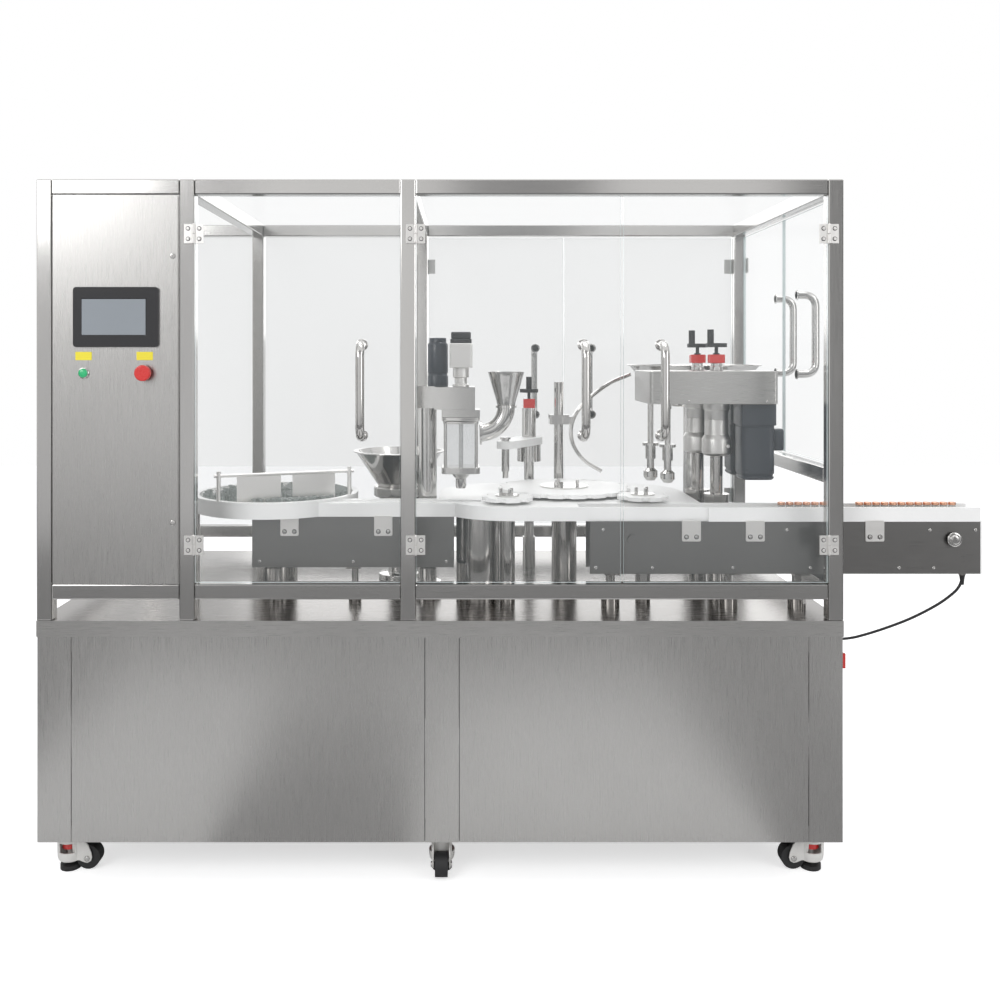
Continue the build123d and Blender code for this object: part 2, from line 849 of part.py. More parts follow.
save(table_plate, "table_plate")


def make_star(centre, pockets, pitch, first_angle, hub, shaft, shaft_low):
    """Star wheel: a disc with half-round pockets, a hub plate with pins, and its shaft."""
    x, y = centre
    with BuildPart() as star:
        with BuildSketch(Plane.XY.offset(star_low)):
            with Locations((x, y)):
                Circle(pitch - star_rim_gap)
                with PolarLocations(pitch, pockets, start_angle=first_angle):
                    Circle(pocket_radius, mode=Mode.SUBTRACT)
        extrude(amount=star_thickness)
        rod(x, y, star_top, star_top + hub_height, hub)
        rod(x, y, shaft_low, star_low, shaft)
        with BuildSketch(Plane.XY.offset(star_top + hub_height)):
            with Locations((x, y)):
                with PolarLocations(hub * 0.55, 3, start_angle=first_angle):
                    Circle(hub_pin_radius)
        extrude(amount=hub_pin_height)
    return star


# Drums and columns on the deck
drum_top = plate_top - weld_gap
main_drum = 36
transfer_drum = 20
bearing_low = drum_top - bearing_depth
shaft_low = bearing_low + seat_gap
support_drum_x = line_zero - 96
support_drum_y = -222
support_drum_radius = 60

star_wheel_main = make_star(
    (main_x, main_y), main_pockets, main_pitch, infeed_star_angle, main_hub, main_shaft, shaft_low
)
save(star_wheel_main, "star_wheel_main")
star_wheel_infeed = make_star(
    infeed_star,
    transfer_pockets,
    transfer_pitch,
    infeed_star_angle + 180,
    transfer_hub,
    transfer_shaft,
    shaft_low,
)
save(star_wheel_infeed, "star_wheel_infeed")
outfeed_phase = outfeed_star_angle + 180 + 180 / transfer_pockets
star_wheel_outfeed = make_star(
    outfeed_star, transfer_pockets, transfer_pitch, outfeed_phase, transfer_hub, transfer_shaft, shaft_low
)
save(star_wheel_outfeed, "star_wheel_outfeed")

# Conveyor side plates: folded sheets, a slide bed under the outfeed chain and an end plate
roller_inset = 75
roller_x = conveyor_end - roller_inset
roller_z = 844
roller_radius = 55.5
chain_start = line_zero + 300
bed_thickness = 3
slat_thickness = 3.5
chain_top = plate_top + 18
bed_top = chain_top - slat_thickness - seat_gap
end_plate = 4
cover_start = roller_x - 10
shaft_radius = 8
foot_bracket = 30
plate_end = conveyor_end - end_plate - weld_gap

with BuildPart() as conveyor_sides:
    for y in [conveyor_front, conveyor_back - side_plate]:
        block(conveyor_start, plate_end, y, y + side_plate, plate_bottom, plate_top - weld_gap)
        with BuildSketch(Plane.XZ.offset(-y)):
            with Locations((roller_x, roller_z)):
                Circle(shaft_radius + running_fit)
            with Locations((chain_start, roller_z)):
                Circle(shaft_radius + running_fit)
        extrude(amount=-side_plate, mode=Mode.SUBTRACT)
    for y in [infeed_front, infeed_back - side_plate]:
        block(infeed_start, infeed_end, y, y + side_plate, plate_bottom, plate_top - weld_gap)
    inner_front = conveyor_front + side_plate + weld_gap
    inner_back = conveyor_back - side_plate - weld_gap
    block(
        chain_start,
        roller_x,
        conveyor_front + guide_width + weld_gap,
        conveyor_back - guide_width - weld_gap,
        bed_top - bed_thickness,
        bed_top,
    )
    block(cover_start, plate_end, inner_front, inner_back, plate_bottom, plate_bottom + 2)
    infeed_inner_front = infeed_front + side_plate + weld_gap
    infeed_inner_back = infeed_back - side_plate - weld_gap
    for x in [infeed_start, infeed_end - foot_bracket]:
        block(x, x + foot_bracket, infeed_inner_front, infeed_inner_back, plate_bottom, plate_bottom + 3)
save(conveyor_sides, "conveyor_sides")

# White guide rails of the outfeed and the white end plate
with BuildPart() as guide_rails:
    for y in [conveyor_front, conveyor_back - guide_width]:
        block(
            table_right + weld_gap,
            plate_end,
            y,
            y + guide_width,
            plate_top,
            table_top,
        )
    block(
        conveyor_end - end_plate,
        conveyor_end,
        conveyor_front,
        conveyor_back,
        plate_bottom,
        plate_top + 2,
    )
save(guide_rails, "guide_rails")

# Slat chain: flat links spaced along a closed loop round the two rollers
link_pitch_wanted = 38.1
link_gap = 0.7
chain_width = conveyor_depth - 2 * guide_width - 4
chain_radius = chain_top - slat_thickness / 2 - roller_z
straight = roller_x - chain_start
loop_length = 2 * straight + 2 * pi * chain_radius
link_count = round(loop_length / link_pitch_wanted)
link_pitch = loop_length / link_count


def chain_place(way):
    """Place and turn of the chain's middle line at a distance along the loop."""
    bend = pi * chain_radius
    if way < straight:
        return chain_start + way, roller_z + chain_radius, 0
    if way < straight + bend:
        turn = (way - straight) / chain_radius
        return roller_x + chain_radius * sin(turn), roller_z + chain_radius * cos(turn), -turn
    if way < 2 * straight + bend:
        return roller_x - (way - straight - bend), roller_z - chain_radius, pi
    turn = (way - 2 * straight - bend) / chain_radius
    return chain_start - chain_radius * sin(turn), roller_z - chain_radius * cos(turn), pi - turn


links = []
for number in range(link_count):
    link_x, link_z, link_turn = chain_place(number * link_pitch)
    link = Box(link_pitch - link_gap, chain_width, slat_thickness)
    links.append(Pos(link_x, conveyor_middle, link_z) * Rot(0, -link_turn * 180 / pi, 0) * link)
with BuildPart() as conveyor_chain:
    add(links)
save(conveyor_chain, "conveyor_chain")


def make_roller(x):
    """Chain roller: a drum on a shaft that ends in a bolt head outside each plate."""
    with BuildPart() as roller:
        with BuildSketch(Plane.XZ.offset(-conveyor_middle)):
            with Locations((x, roller_z)):
                Circle(roller_radius)
        extrude(amount=chain_width / 2 - 6, both=True)
        with BuildSketch(Plane.XZ.offset(-conveyor_middle)):
            with Locations((x, roller_z)):
                Circle(shaft_radius)
        extrude(amount=conveyor_depth / 2 + 2, both=True)
        for side in [-1, 1]:
            with BuildSketch(Plane.XZ.offset(-conveyor_middle + side * (conveyor_depth / 2 + 1))):
                with Locations((x, roller_z)):
                    RegularPolygon(shaft_radius + 5, 6)
            extrude(amount=side * 6)
    return roller


end_roller = make_roller(roller_x)
save(end_roller, "end_roller")
drive_roller = make_roller(chain_start)
save(drive_roller, "drive_roller")

# Filling station
filler_x = line_zero - 143
filler_y = -225
filler_column_x = line_zero - 237
filler_column_y = -150
filler_column_radius = 26
filler_column_top = 1173
bracket_low = filler_column_top + weld_gap
bracket_top = 1234
bracket_reach = 28
bracket_depth = 57
clamp_half = 36
stirrer_x = line_zero - 208
stirrer_radius = 29
stirrer_top = 1370
servo_side = 62
servo_low = 1286
servo_top = 1364
servo_cap = 19
coupling_radius = 23
hopper_left = line_zero - 195
hopper_right = line_zero - 92
hopper_depth = 90
hopper_low = 1000
hopper_top = 1153
hopper_wall = 5
auger_radius = 10
auger_shaft_radius = 6
nozzle_radius = 14
nozzle_low = 958
nozzle_bore = auger_radius + 0.6
funnel_pipe_radius = 22
funnel_wall = 2
elbow_radius = 72
elbow_z = 1108
cup_low = elbow_z + elbow_radius
cup_top = 1275
cup_radius = 47
funnel_x = hopper_right + weld_gap + elbow_radius

with BuildPart() as filler_column:
    rod(filler_column_x, filler_column_y, deck_height + weld_gap, filler_column_top, filler_column_radius)
    rod(
        filler_column_x,
        filler_column_y,
        deck_height + weld_gap,
        deck_height + 34,
        filler_column_radius + 12,
    )

with BuildPart() as filler_bracket:
    block(
        filler_column_x - bracket_reach,
        filler_column_x + bracket_depth,
        filler_column_y - clamp_half,
        filler_column_y + clamp_half,
        bracket_low,
        bracket_top,
    )
    block(
        filler_x - 2 * clamp_half,
        filler_x + clamp_half + 2,
        filler_y - clamp_half - 1,
        filler_y + 55,
        bracket_low,
        bracket_top,
    )
    rod(filler_x, filler_y, bracket_low, bracket_top, auger_shaft_radius + running_fit, mode=Mode.SUBTRACT)

with BuildPart() as filler_motors:
    rod(stirrer_x, filler_column_y, bracket_top + weld_gap, stirrer_top, stirrer_radius)
    ring(
        filler_x,
        filler_y,
        bracket_top + weld_gap,
        servo_low,
        coupling_radius,
        auger_shaft_radius + 2,
    )
    with BuildSketch(Plane.XY.offset(servo_low)):
        with Locations((filler_x, filler_y)):
            RectangleRounded(servo_side, servo_side, 6)
    extrude(amount=servo_top - servo_low)
    with BuildSketch(Plane.XY.offset(servo_top)):
        with Locations((filler_x, filler_y)):
            RectangleRounded(servo_side - 6, servo_side - 6, 6)
    extrude(amount=servo_cap)
save(filler_motors, "filler_motors")

with BuildPart() as powder_hopper:
    with BuildSketch(Plane.XY.offset(hopper_low)):
        with Locations(((hopper_left + hopper_right) / 2, filler_y)):
            RectangleRounded(hopper_right - hopper_left, hopper_depth, 14)
    extrude(amount=hopper_top - hopper_low)
    with BuildSketch(Plane.XY.offset(hopper_low + hopper_wall)):
        with Locations(((hopper_left + hopper_right) / 2, filler_y)):
            RectangleRounded(
                hopper_right - hopper_left - 2 * hopper_wall,
                hopper_depth - 2 * hopper_wall,
                14 - hopper_wall,
            )
    extrude(amount=hopper_top - hopper_low, mode=Mode.SUBTRACT)
    turned(
        filler_x,
        filler_y,
        [
            (0, nozzle_low),
            (nozzle_radius, nozzle_low),
            (nozzle_radius, hopper_low - 14),
            (nozzle_radius + 14, hopper_low),
            (0, hopper_low),
        ],
    )
    rod(filler_x, filler_y, nozzle_low, hopper_low + hopper_wall, nozzle_bore, mode=Mode.SUBTRACT)
    with BuildSketch(Plane.YZ.offset(hopper_right - hopper_wall - 1)):
        with Locations((filler_y, elbow_z)):
            Circle(funnel_pipe_radius - funnel_wall)
    extrude(amount=hopper_wall + 2, mode=Mode.SUBTRACT)
save(powder_hopper, "powder_hopper")

with BuildPart() as hopper_cover:
    block(
        hopper_left,
        hopper_right,
        filler_y - hopper_depth / 2,
        filler_y + hopper_depth / 2,
        hopper_top + weld_gap,
        bracket_low - weld_gap,
    )
    rod(
        filler_x,
        filler_y,
        hopper_top,
        bracket_low,
        auger_shaft_radius + running_fit,
        mode=Mode.SUBTRACT,
    )

with BuildPart() as auger:
    rod(filler_x, filler_y, nozzle_low + 2, servo_low - 4, auger_shaft_radius)
save(auger, "auger")

with BuildPart() as filling_funnel:
    turned(
        funnel_x,
        filler_y,
        [
            (funnel_pipe_radius, cup_low),
            (cup_radius, cup_top),
            (cup_radius + 3, cup_top),
            (cup_radius + 3, cup_top - 3),
            (cup_radius, cup_top - 3 - funnel_wall),
            (funnel_pipe_radius + funnel_wall, cup_low),
        ],
    )
    elbow_centre = (hopper_right + weld_gap, filler_y, cup_low)
    with BuildSketch(Plane(origin=(funnel_x, filler_y, cup_low), x_dir=(1, 0, 0), z_dir=(0, 0, -1))):
        Circle(funnel_pipe_radius + funnel_wall)
        Circle(funnel_pipe_radius, mode=Mode.SUBTRACT)
    revolve(axis=Axis(elbow_centre, (0, 1, 0)), revolution_arc=90)
save(filling_funnel, "filling_funnel")

# Feeder bowls: open cones on round vibrating bases, each on a pedestal from the deck
stopper_bowl_x = line_zero - 328
stopper_bowl_y = 30
stopper_bowl_radius = 128
stopper_bowl_floor = 62
stopper_bowl_top = 1037
stopper_bowl_low = 932
stopper_base_radius = 75
cap_bowl_x = line_zero + 591
cap_bowl_y = 205
cap_bowl_radius = 200
cap_bowl_floor = 120
cap_bowl_top = 1291
cap_bowl_low = 1192
cap_base_radius = 95
bowl_wall = 2.5
bowl_lip = 8
bowl_base_height = 30
pedestal_radius = 32
pedestal_foot = 60


def add_bowl(x, y, radius, floor, low, top, base_radius):
    """Open bowl with a rolled lip, its base ring and the pedestal, as separate solids."""
    turned(
        x,
        y,
        [
            (0, low),
            (floor, low),
            (radius, top - 3),
            (radius + bowl_lip, top - 3),
            (radius + bowl_lip, top),
            (radius - bowl_wall, top),
            (floor - bowl_wall, low + bowl_wall),
            (0, low + bowl_wall),
        ],
    )
    base_low = low - bowl_base_height
    rod(x, y, base_low, low - weld_gap, base_radius)
    rod(x, y, deck_height + weld_gap, base_low - weld_gap, pedestal_radius)
    rod(x, y, deck_height + weld_gap, deck_height + 20, pedestal_foot)


with BuildPart() as stopper_bowl:
    add_bowl(
        stopper_bowl_x,
        stopper_bowl_y,
        stopper_bowl_radius,
        stopper_bowl_floor,
        stopper_bowl_low,
        stopper_bowl_top,
        stopper_base_radius,
    )

with BuildPart() as cap_bowl:
    add_bowl(
        cap_bowl_x,
        cap_bowl_y,
        cap_bowl_radius,
        cap_bowl_floor,
        cap_bowl_low,
        cap_bowl_top,
        cap_base_radius,
    )

# Stoppering station: two columns, a white clamp arm, the cylinder and the plunger
column_radius = 15
column_foot_radius = 20
stopper_x = line_zero + 69
stopper_y = 175
chute_post_x = line_zero + 162
chute_post_top = 1237
plunger_x = line_zero - 11.5
plunger_y = 16
plunger_radius = 11.5
plunger_low = 956
plunger_top = 1071
plunger_travel = 20
arm_low = 1043
arm_top = 1065
arm_end_radius = 26
arm_post_radius = 42
cylinder_radius = 22
cylinder_top = 1156
lower_cylinder_radius = 37
lower_cylinder_low = 990
indicator_top = 1184
indicator_side = 36
clamp_low = 1106
clamp_top = 1135
clamp_radius = 30
knob_stem_radius = 5
knob_plate_radius = 29
knob_plate_thickness = 11
knob_grip_radius = 9
knob_grip_height = 38
knob_grip_offset = 16
knob_rise = 20

with BuildPart() as stopper_columns:
    for x, top in [(stopper_x, lower_cylinder_low - weld_gap), (chute_post_x, chute_post_top)]:
        rod(x, stopper_y, deck_height + weld_gap, top, column_radius)
        rod(x, stopper_y, deck_height + weld_gap, plate_bottom, column_foot_radius)

with BuildPart() as stopper_arm:
    with BuildSketch(Plane.XY.offset(arm_low + weld_gap)):
        with Locations((stopper_x, stopper_y)):
            Circle(arm_post_radius)
        with Locations((plunger_x, plunger_y)):
            Circle(arm_end_radius)
        make_hull()
        with Locations((plunger_x, plunger_y)):
            Circle(plunger_radius + running_fit, mode=Mode.SUBTRACT)
    extrude(amount=arm_top - arm_low - weld_gap)
    with BuildSketch(Plane.XY.offset(clamp_low)):
        with Locations((chute_post_x, stopper_y)):
            RectangleRounded(2 * clamp_radius, 2 * clamp_radius, 6)
            Circle(column_radius + weld_gap, mode=Mode.SUBTRACT)
    extrude(amount=clamp_top - clamp_low)

with BuildPart() as stopper_cylinder:
    rod(stopper_x, stopper_y, lower_cylinder_low, arm_low, lower_cylinder_radius)
    rod(stopper_x, stopper_y, arm_top + weld_gap, cylinder_top, cylinder_radius)
    with BuildSketch(Plane.XY.offset(cylinder_top + weld_gap)):
        with Locations((stopper_x, stopper_y)):
            RectangleRounded(indicator_side, indicator_side, 4)
    extrude(amount=indicator_top - cylinder_top)

with BuildPart() as stopper_plunger:
    rod(plunger_x, plunger_y, plunger_low + 20, plunger_top, plunger_radius)
    rod(plunger_x, plunger_y, plunger_low, plunger_low + 20, plunger_radius - 3)
    rod(plunger_x, plunger_y, plunger_top, plunger_top + 6, plunger_radius + 4)
save(stopper_plunger, "stopper_plunger")


def make_knob(x, y, low, grip_side):
    """Setting knob: stem, round plate and an upright grip off its middle."""
    plate_low = low + knob_rise
    with BuildPart() as knob:
        rod(x, y, low + seat_gap, plate_low, knob_stem_radius)
        rod(x, y, plate_low, plate_low + knob_plate_thickness, knob_plate_radius)
        rod(
            x + grip_side * knob_grip_offset,
            y,
            plate_low + knob_plate_thickness,
            plate_low + knob_plate_thickness + knob_grip_height,
            knob_grip_radius,
        )
    return knob


stopper_knob = make_knob(stopper_x, stopper_y, indicator_top + weld_gap, 0)
save(stopper_knob, "stopper_knob")

# Capping station: a housing that slides on two columns and carries motors and spindles
lift_columns = [(line_zero + 565, -180), (line_zero + 535, -85)]
lift_radius = 17
lift_top = 1236
lift_collar_radius = 35
sleeve_low = 1043
sleeve_step = 1102
sleeve_wide_radius = 40
sleeve_radius = 32.5
housing_left = line_zero + 365
housing_right = line_zero + 711
housing_front = -265
housing_back = -20
housing_low = 1188
housing_top = 1277
housing_wall = 3
capper_motor_x = line_zero + 668
capper_motor_y = [-190, -75]
motor_side = 90
gearhead_side = 94
gearhead_low = 1128
motor_low = 980
terminal_box = 28
terminal_low = motor_low + 78
spindle_places = [around(outfeed_star[0], outfeed_star[1], transfer_pitch, angle) for angle in [62, 8]]
chuck_low = 975
spindle_shaft = 8
spindle_block_low = 1148
indicator_low = housing_top + weld_gap
indicator_base_top = 1298
indicator_red_top = 1322

with BuildPart() as capper_housing:
    block(housing_left, housing_right, housing_front, housing_back, housing_low, housing_top)
    block(
        housing_left + housing_wall,
        housing_right - housing_wall,
        housing_front + housing_wall,
        housing_back - housing_wall,
        housing_low + housing_wall,
        housing_top - housing_wall,
        mode=Mode.SUBTRACT,
    )
    for x, y in lift_columns:
        rod(x, y, housing_low, housing_low + housing_wall, lift_radius + 3, mode=Mode.SUBTRACT)
    for x, y in spindle_places:
        rod(x, y, housing_low, housing_low + housing_wall, spindle_shaft + 2, mode=Mode.SUBTRACT)

with BuildPart() as capper_sleeves:
    for x, y in lift_columns:
        ring(x, y, sleeve_step, housing_low - weld_gap, sleeve_radius, lift_radius + running_fit)
        ring(x, y, sleeve_low, sleeve_step, sleeve_wide_radius, lift_radius + running_fit)
    for x, y in spindle_places:
        ring(x, y, spindle_block_low, housing_low - weld_gap, 18, spindle_shaft + running_fit)

with BuildPart() as capper_indicators:
    for x, y in lift_columns:
        rod(x, y, indicator_low, indicator_base_top, 18)
        with BuildSketch(Plane.XY.offset(indicator_base_top + weld_gap)):
            with Locations((x, y)):
                RectangleRounded(indicator_side + 6, indicator_side, 4)
        extrude(amount=indicator_red_top - indicator_base_top)

with BuildPart() as capper_motors:
    for y in capper_motor_y:
        with BuildSketch(Plane.XY.offset(gearhead_low)):
            with Locations((capper_motor_x, y)):
                RectangleRounded(gearhead_side, gearhead_side, 8)
        extrude(amount=housing_low - weld_gap - gearhead_low)
        with BuildSketch(Plane.XY.offset(motor_low)):
            with Locations((capper_motor_x, y)):
                RectangleRounded(motor_side, motor_side, 16)
        extrude(amount=gearhead_low - motor_low)
    block(
        capper_motor_x + motor_side / 2,
        capper_motor_x + motor_side / 2 + terminal_box,
        capper_motor_y[0] - 26,
        capper_motor_y[0] + 26,
        terminal_low,
        terminal_low + 60,
    )
save(capper_motors, "capper_motors")


def make_spindle(x, y):
    """Capping spindle: shaft, spring cage, chuck body and cone."""
    profile = [
        (0, chuck_low),
        (11, chuck_low),
        (19, chuck_low + 10),
        (19, chuck_low + 26),
        (10, chuck_low + 34),
        (10, chuck_low + 60),
        (14, chuck_low + 60),
        (14, chuck_low + 96),
        (22, chuck_low + 96),
        (22, chuck_low + 104),
        (spindle_shaft, chuck_low + 104),
        (spindle_shaft, housing_low + 40),
        (0, housing_low + 40),
    ]
    with BuildPart() as spindle:
        turned(x, y, profile)
    return spindle


for number, place in enumerate(spindle_places, start=1):
    save(make_spindle(*place), "capping_spindle_" + str(number))

knob_low = indicator_red_top + weld_gap
for number, place in enumerate(lift_columns, start=1):
    save(make_knob(place[0], place[1], knob_low, -1), "capper_knob_" + str(number))

# Supports between deck and table
leg_radius = 9
leg_collar_radius = 17
leg_collar_height = 30
outfeed_leg_radius = 12
outfeed_collar_radius = 24
outfeed_legs = [line_zero + 250, line_zero + 560, line_zero + 740]
infeed_legs = [line_zero - 640, line_zero - 430, line_zero - 230]

with BuildPart() as table_supports:
    for x, y, radius, shaft in [
        (main_x, main_y, main_drum, main_shaft),
        (infeed_star[0], infeed_star[1], transfer_drum, transfer_shaft),
        (outfeed_star[0], outfeed_star[1], transfer_drum, transfer_shaft),
    ]:
        rod(x, y, deck_height + weld_gap, drum_top, radius)
        rod(x, y, bearing_low, drum_top, shaft + running_fit, mode=Mode.SUBTRACT)
    rod(support_drum_x, support_drum_y, deck_height + weld_gap, drum_top, support_drum_radius)
    rod(turntable_x, turntable_y, deck_height + weld_gap, drive_top, drive_radius)
    rod(
        turntable_x,
        turntable_y,
        drive_top - bearing_depth,
        drive_top,
        spindle_radius + running_fit,
        mode=Mode.SUBTRACT,
    )
    for x, y in lift_columns:
        rod(x, y, deck_height + weld_gap, lift_top, lift_radius)
        rod(x, y, deck_height + weld_gap, table_top + 12, lift_collar_radius - 10)
        rod(x, y, table_top - 14, table_top + 12, lift_collar_radius)

with BuildPart() as conveyor_legs:
    for x in outfeed_legs:
        rod(x, conveyor_middle, deck_height + weld_gap, plate_bottom - 4 - weld_gap, outfeed_leg_radius)
        rod(
            x,
            conveyor_middle,
            deck_height + weld_gap,
            deck_height + leg_collar_height + 10,
            outfeed_collar_radius,
        )
        block(
            x - 20,
            x + 20,
            conveyor_front + 1,
            conveyor_back - 1,
            plate_bottom - 4 - weld_gap,
            plate_bottom - weld_gap,
        )
    for x in infeed_legs:
        rod(x, infeed_middle, deck_height + weld_gap, plate_bottom - 4 - weld_gap, leg_radius)
        rod(
            x,
            infeed_middle,
            deck_height + weld_gap,
            deck_height + leg_collar_height,
            leg_collar_radius,
        )
        block(
            x - 20,
            x + 20,
            infeed_front + 1,
            infeed_back - 1,
            plate_bottom - 4 - weld_gap,
            plate_bottom - weld_gap,
        )

# Cap chute: a flat channel from the cap bowl down to the main star wheel
chute_width = 26
chute_depth = 8
chute_route = [
    (386, 190, 1262),
    (322, 176, 1236),
    (258, 158, 1192),
    (213, 138, 1147),
    (192, 113, 1100),
    (195, 90, 1050),
    (226, 70, 1002),
    (283, 56, 966),
]
chute_points = [(line_zero + x, y, z) for x, y, z in chute_route]
with BuildPart() as cap_chute:
    with BuildLine() as chute_line:
        Spline(*chute_points)
    chute_begin = chute_line.line @ 0
    chute_tangent = chute_line.line % 0
    with BuildSketch(Plane(origin=chute_begin, x_dir=(-0.3, 1, 0), z_dir=chute_tangent)):
        Rectangle(chute_width, chute_depth)
    sweep(path=chute_line.line)
    block(
        chute_post_x + 10,
        chute_post_x + 42,
        stopper_y - clamp_radius - 24,
        stopper_y - clamp_radius - seat_gap,
        clamp_low + 4,
        clamp_top - 4,
    )
save(cap_chute, "cap_chute")

# Cable from the underside of the outfeed end to the gland on the cabinet's right end
cable_radius = 3.5
gland_radius = 9
gland_length = 12
cable_y = conveyor_middle
cable_inset = 29
cable_start_x = conveyor_end - cable_inset
cable_start_z = plate_bottom - gland_length - seat_gap
cable_end_x = right - sheet_inset + gland_length + seat_gap
cable_reach = cable_start_x - cable_end_x
cable_drop = 28
cabinet_gland_z = 572
# Share of the way from the conveyor to the cabinet, and height, where the cable sags
cable_sag = [(0.125, 676), (0.25, 650), (0.395, 625), (0.545, 605), (0.7, 587)]
cable_route = [
    (cable_start_x, cable_y, cable_start_z),
    (cable_start_x, cable_y, cable_start_z - cable_drop),
    *[(cable_start_x - share * cable_reach, cable_y, height) for share, height in cable_sag],
    (cable_end_x + 48, cable_y, cabinet_gland_z),
    (cable_end_x, cable_y, cabinet_gland_z),
]


def corner_radii(route):
    """Largest arc at each corner that its two runs allow."""
    radii = []
    for before, corner, after in zip(route, route[1:], route[2:]):
        come = Vector(corner) - Vector(before)
        go = Vector(after) - Vector(corner)
        turn = radians(come.get_angle(go))
        radii.append(0.45 * min(come.length, go.length) / (sin(turn / 2) / cos(turn / 2)))
    return radii


cable_radii = corner_radii(cable_route)
print("cable radii", [round(radius) for radius in cable_radii])
with BuildPart() as conveyor_cable:
    with BuildLine() as cable_line:
        FilletPolyline(*cable_route, radius=cable_radii)
    cable_way = Vector(cable_route[1]) - Vector(cable_route[0])
    with BuildSketch(Plane(origin=cable_route[0], z_dir=cable_way)):
        Circle(cable_radius)
    sweep(path=cable_line.line)
cable_length = sum(edge.length for edge in cable_line.edges())
cable_fill = conveyor_cable.part.volume / (pi * cable_radius**2 * cable_length)
print("cable length", round(cable_length), "volume check", round(cable_fill, 3))
save(conveyor_cable, "conveyor_cable")

with BuildPart() as cable_glands:
    rod(cable_start_x, cable_y, plate_bottom - gland_length, plate_bottom - weld_gap, gland_radius)
    with BuildSketch(Plane.YZ.offset(right - sheet_inset + weld_gap)):
        with Locations((cable_y, cabinet_gland_z)):
            Circle(gland_radius)
    extrude(amount=gland_length - weld_gap)

# Fixed pieces that are bolted together for good share one node, as separate solids


def save_group(name, pieces):
    """Write several bodies that never move against each other as one node."""
    with BuildPart() as group:
        for piece in pieces:
            add(piece.part)
    save(group, name)


save_group("enclosure_frame", [enclosure_frame, hinge_frame_leaves])
save_group("base_panels", [base_panels, switch_plate_part])
save_group("door_fittings", [screen_bezel, stop_collar, pilot_lamp])
save_group("turntable_rim", [turntable_rim, turntable_guides])
save_group("filler_stand", [filler_column, filler_bracket, hopper_cover])
save_group("capper_head", [capper_housing, capper_sleeves, capper_indicators])
save_group("stopper_stand", [stopper_columns, stopper_arm, stopper_cylinder])
save_group("feeder_bowls", [stopper_bowl, cap_bowl])
save_group("table_supports", [table_supports, conveyor_legs, cable_glands])
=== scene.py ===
# %% [markdown]
# A powder filling line for small vials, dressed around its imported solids.
# The solids carry every size and every joint, so this file only adds surfaces and finishes.
# All lengths below are in millimetres until the moment a mesh is made, then they become metres.

import bpy
import numpy as np
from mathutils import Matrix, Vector


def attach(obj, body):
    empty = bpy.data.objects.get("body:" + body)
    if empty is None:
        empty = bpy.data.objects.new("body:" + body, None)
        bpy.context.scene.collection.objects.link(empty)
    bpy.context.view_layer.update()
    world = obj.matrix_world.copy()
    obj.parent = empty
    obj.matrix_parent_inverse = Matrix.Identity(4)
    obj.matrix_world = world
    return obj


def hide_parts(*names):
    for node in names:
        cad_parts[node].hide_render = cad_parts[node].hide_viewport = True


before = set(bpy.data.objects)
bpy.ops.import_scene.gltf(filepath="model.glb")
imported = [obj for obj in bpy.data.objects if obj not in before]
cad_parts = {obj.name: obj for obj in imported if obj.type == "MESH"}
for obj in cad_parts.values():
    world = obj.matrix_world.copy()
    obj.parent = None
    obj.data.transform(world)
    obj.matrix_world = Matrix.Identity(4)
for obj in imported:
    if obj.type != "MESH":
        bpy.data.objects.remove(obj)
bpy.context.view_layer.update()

# %% [markdown]
# The camera stands level, a little left of the machine's middle and close to it.
# That is why the cabinet's right end can be seen through the clear doors.
# A lens shift keeps the posts upright in the picture, as an architect's camera does.

# %% Camera
scene = bpy.context.scene
lens = bpy.data.cameras.new("front_view")
lens.sensor_width = 36
lens.lens = 35.7
lens.shift_x = 0.037
lens.shift_y = -0.143
camera = bpy.data.objects.new("front_view", lens)
camera.location = (-0.1375, -2.93, 1.315)
camera.rotation_euler = (np.pi / 2, 0, 0)
scene.collection.objects.link(camera)
scene.camera = camera
print("camera stands at", tuple(round(x, 3) for x in camera.location))

# %% [markdown]
# Steel shows what stands round it, so the light matters as much as the metal.
# Broad soft lamps on both sides, overhead and behind give long even highlights.
# Grey cards stand in for a room: only reflections see them, and they shade the steel's mirror.
# The world is white to the eye and to reflections, and weaker for the light it throws.


# %% Lamps and world
def lamp(name, place, aim, size, power):
    """Area lamp at a place, turned so that its face looks at the aim point."""
    data = bpy.data.lights.new(name, "AREA")
    data.shape = "RECTANGLE"
    data.size, data.size_y = size
    data.energy = power
    made = bpy.data.objects.new(name, data)
    made.location = place
    away = np.subtract(place, aim)
    made.rotation_mode = "QUATERNION"
    made.rotation_quaternion = Vector(away).to_track_quat("Z", "Y")
    scene.collection.objects.link(made)


lamp("key", (-3.2, -4.2, 3.4), (0, 0, 0.9), (2.6, 2.6), 92)
lamp("fill", (3.6, -3.2, 2.2), (0, 0, 0.9), (2.2, 2.8), 48)
lamp("top", (0.1, 0.3, 4.0), (0, 0, 0.9), (3.4, 2.2), 62)
lamp("rear", (0.2, 4.2, 2.6), (0, 0, 1.2), (4.0, 2.4), 40)


def add(tree, kind, **values):
    """New shader node with the inputs of these names set; a low dash stands for a space."""
    made = tree.nodes.new("ShaderNode" + kind)
    for name, value in values.items():
        made.inputs[name.replace("_", " ")].default_value = value
    return made


def feed(tree, node, *sources):
    """Link these outputs to the node's first inputs, in order, and give back its first output."""
    for source, entry in zip(sources, node.inputs):
        tree.links.new(source, entry)
    return node.outputs[0] if node.outputs else None


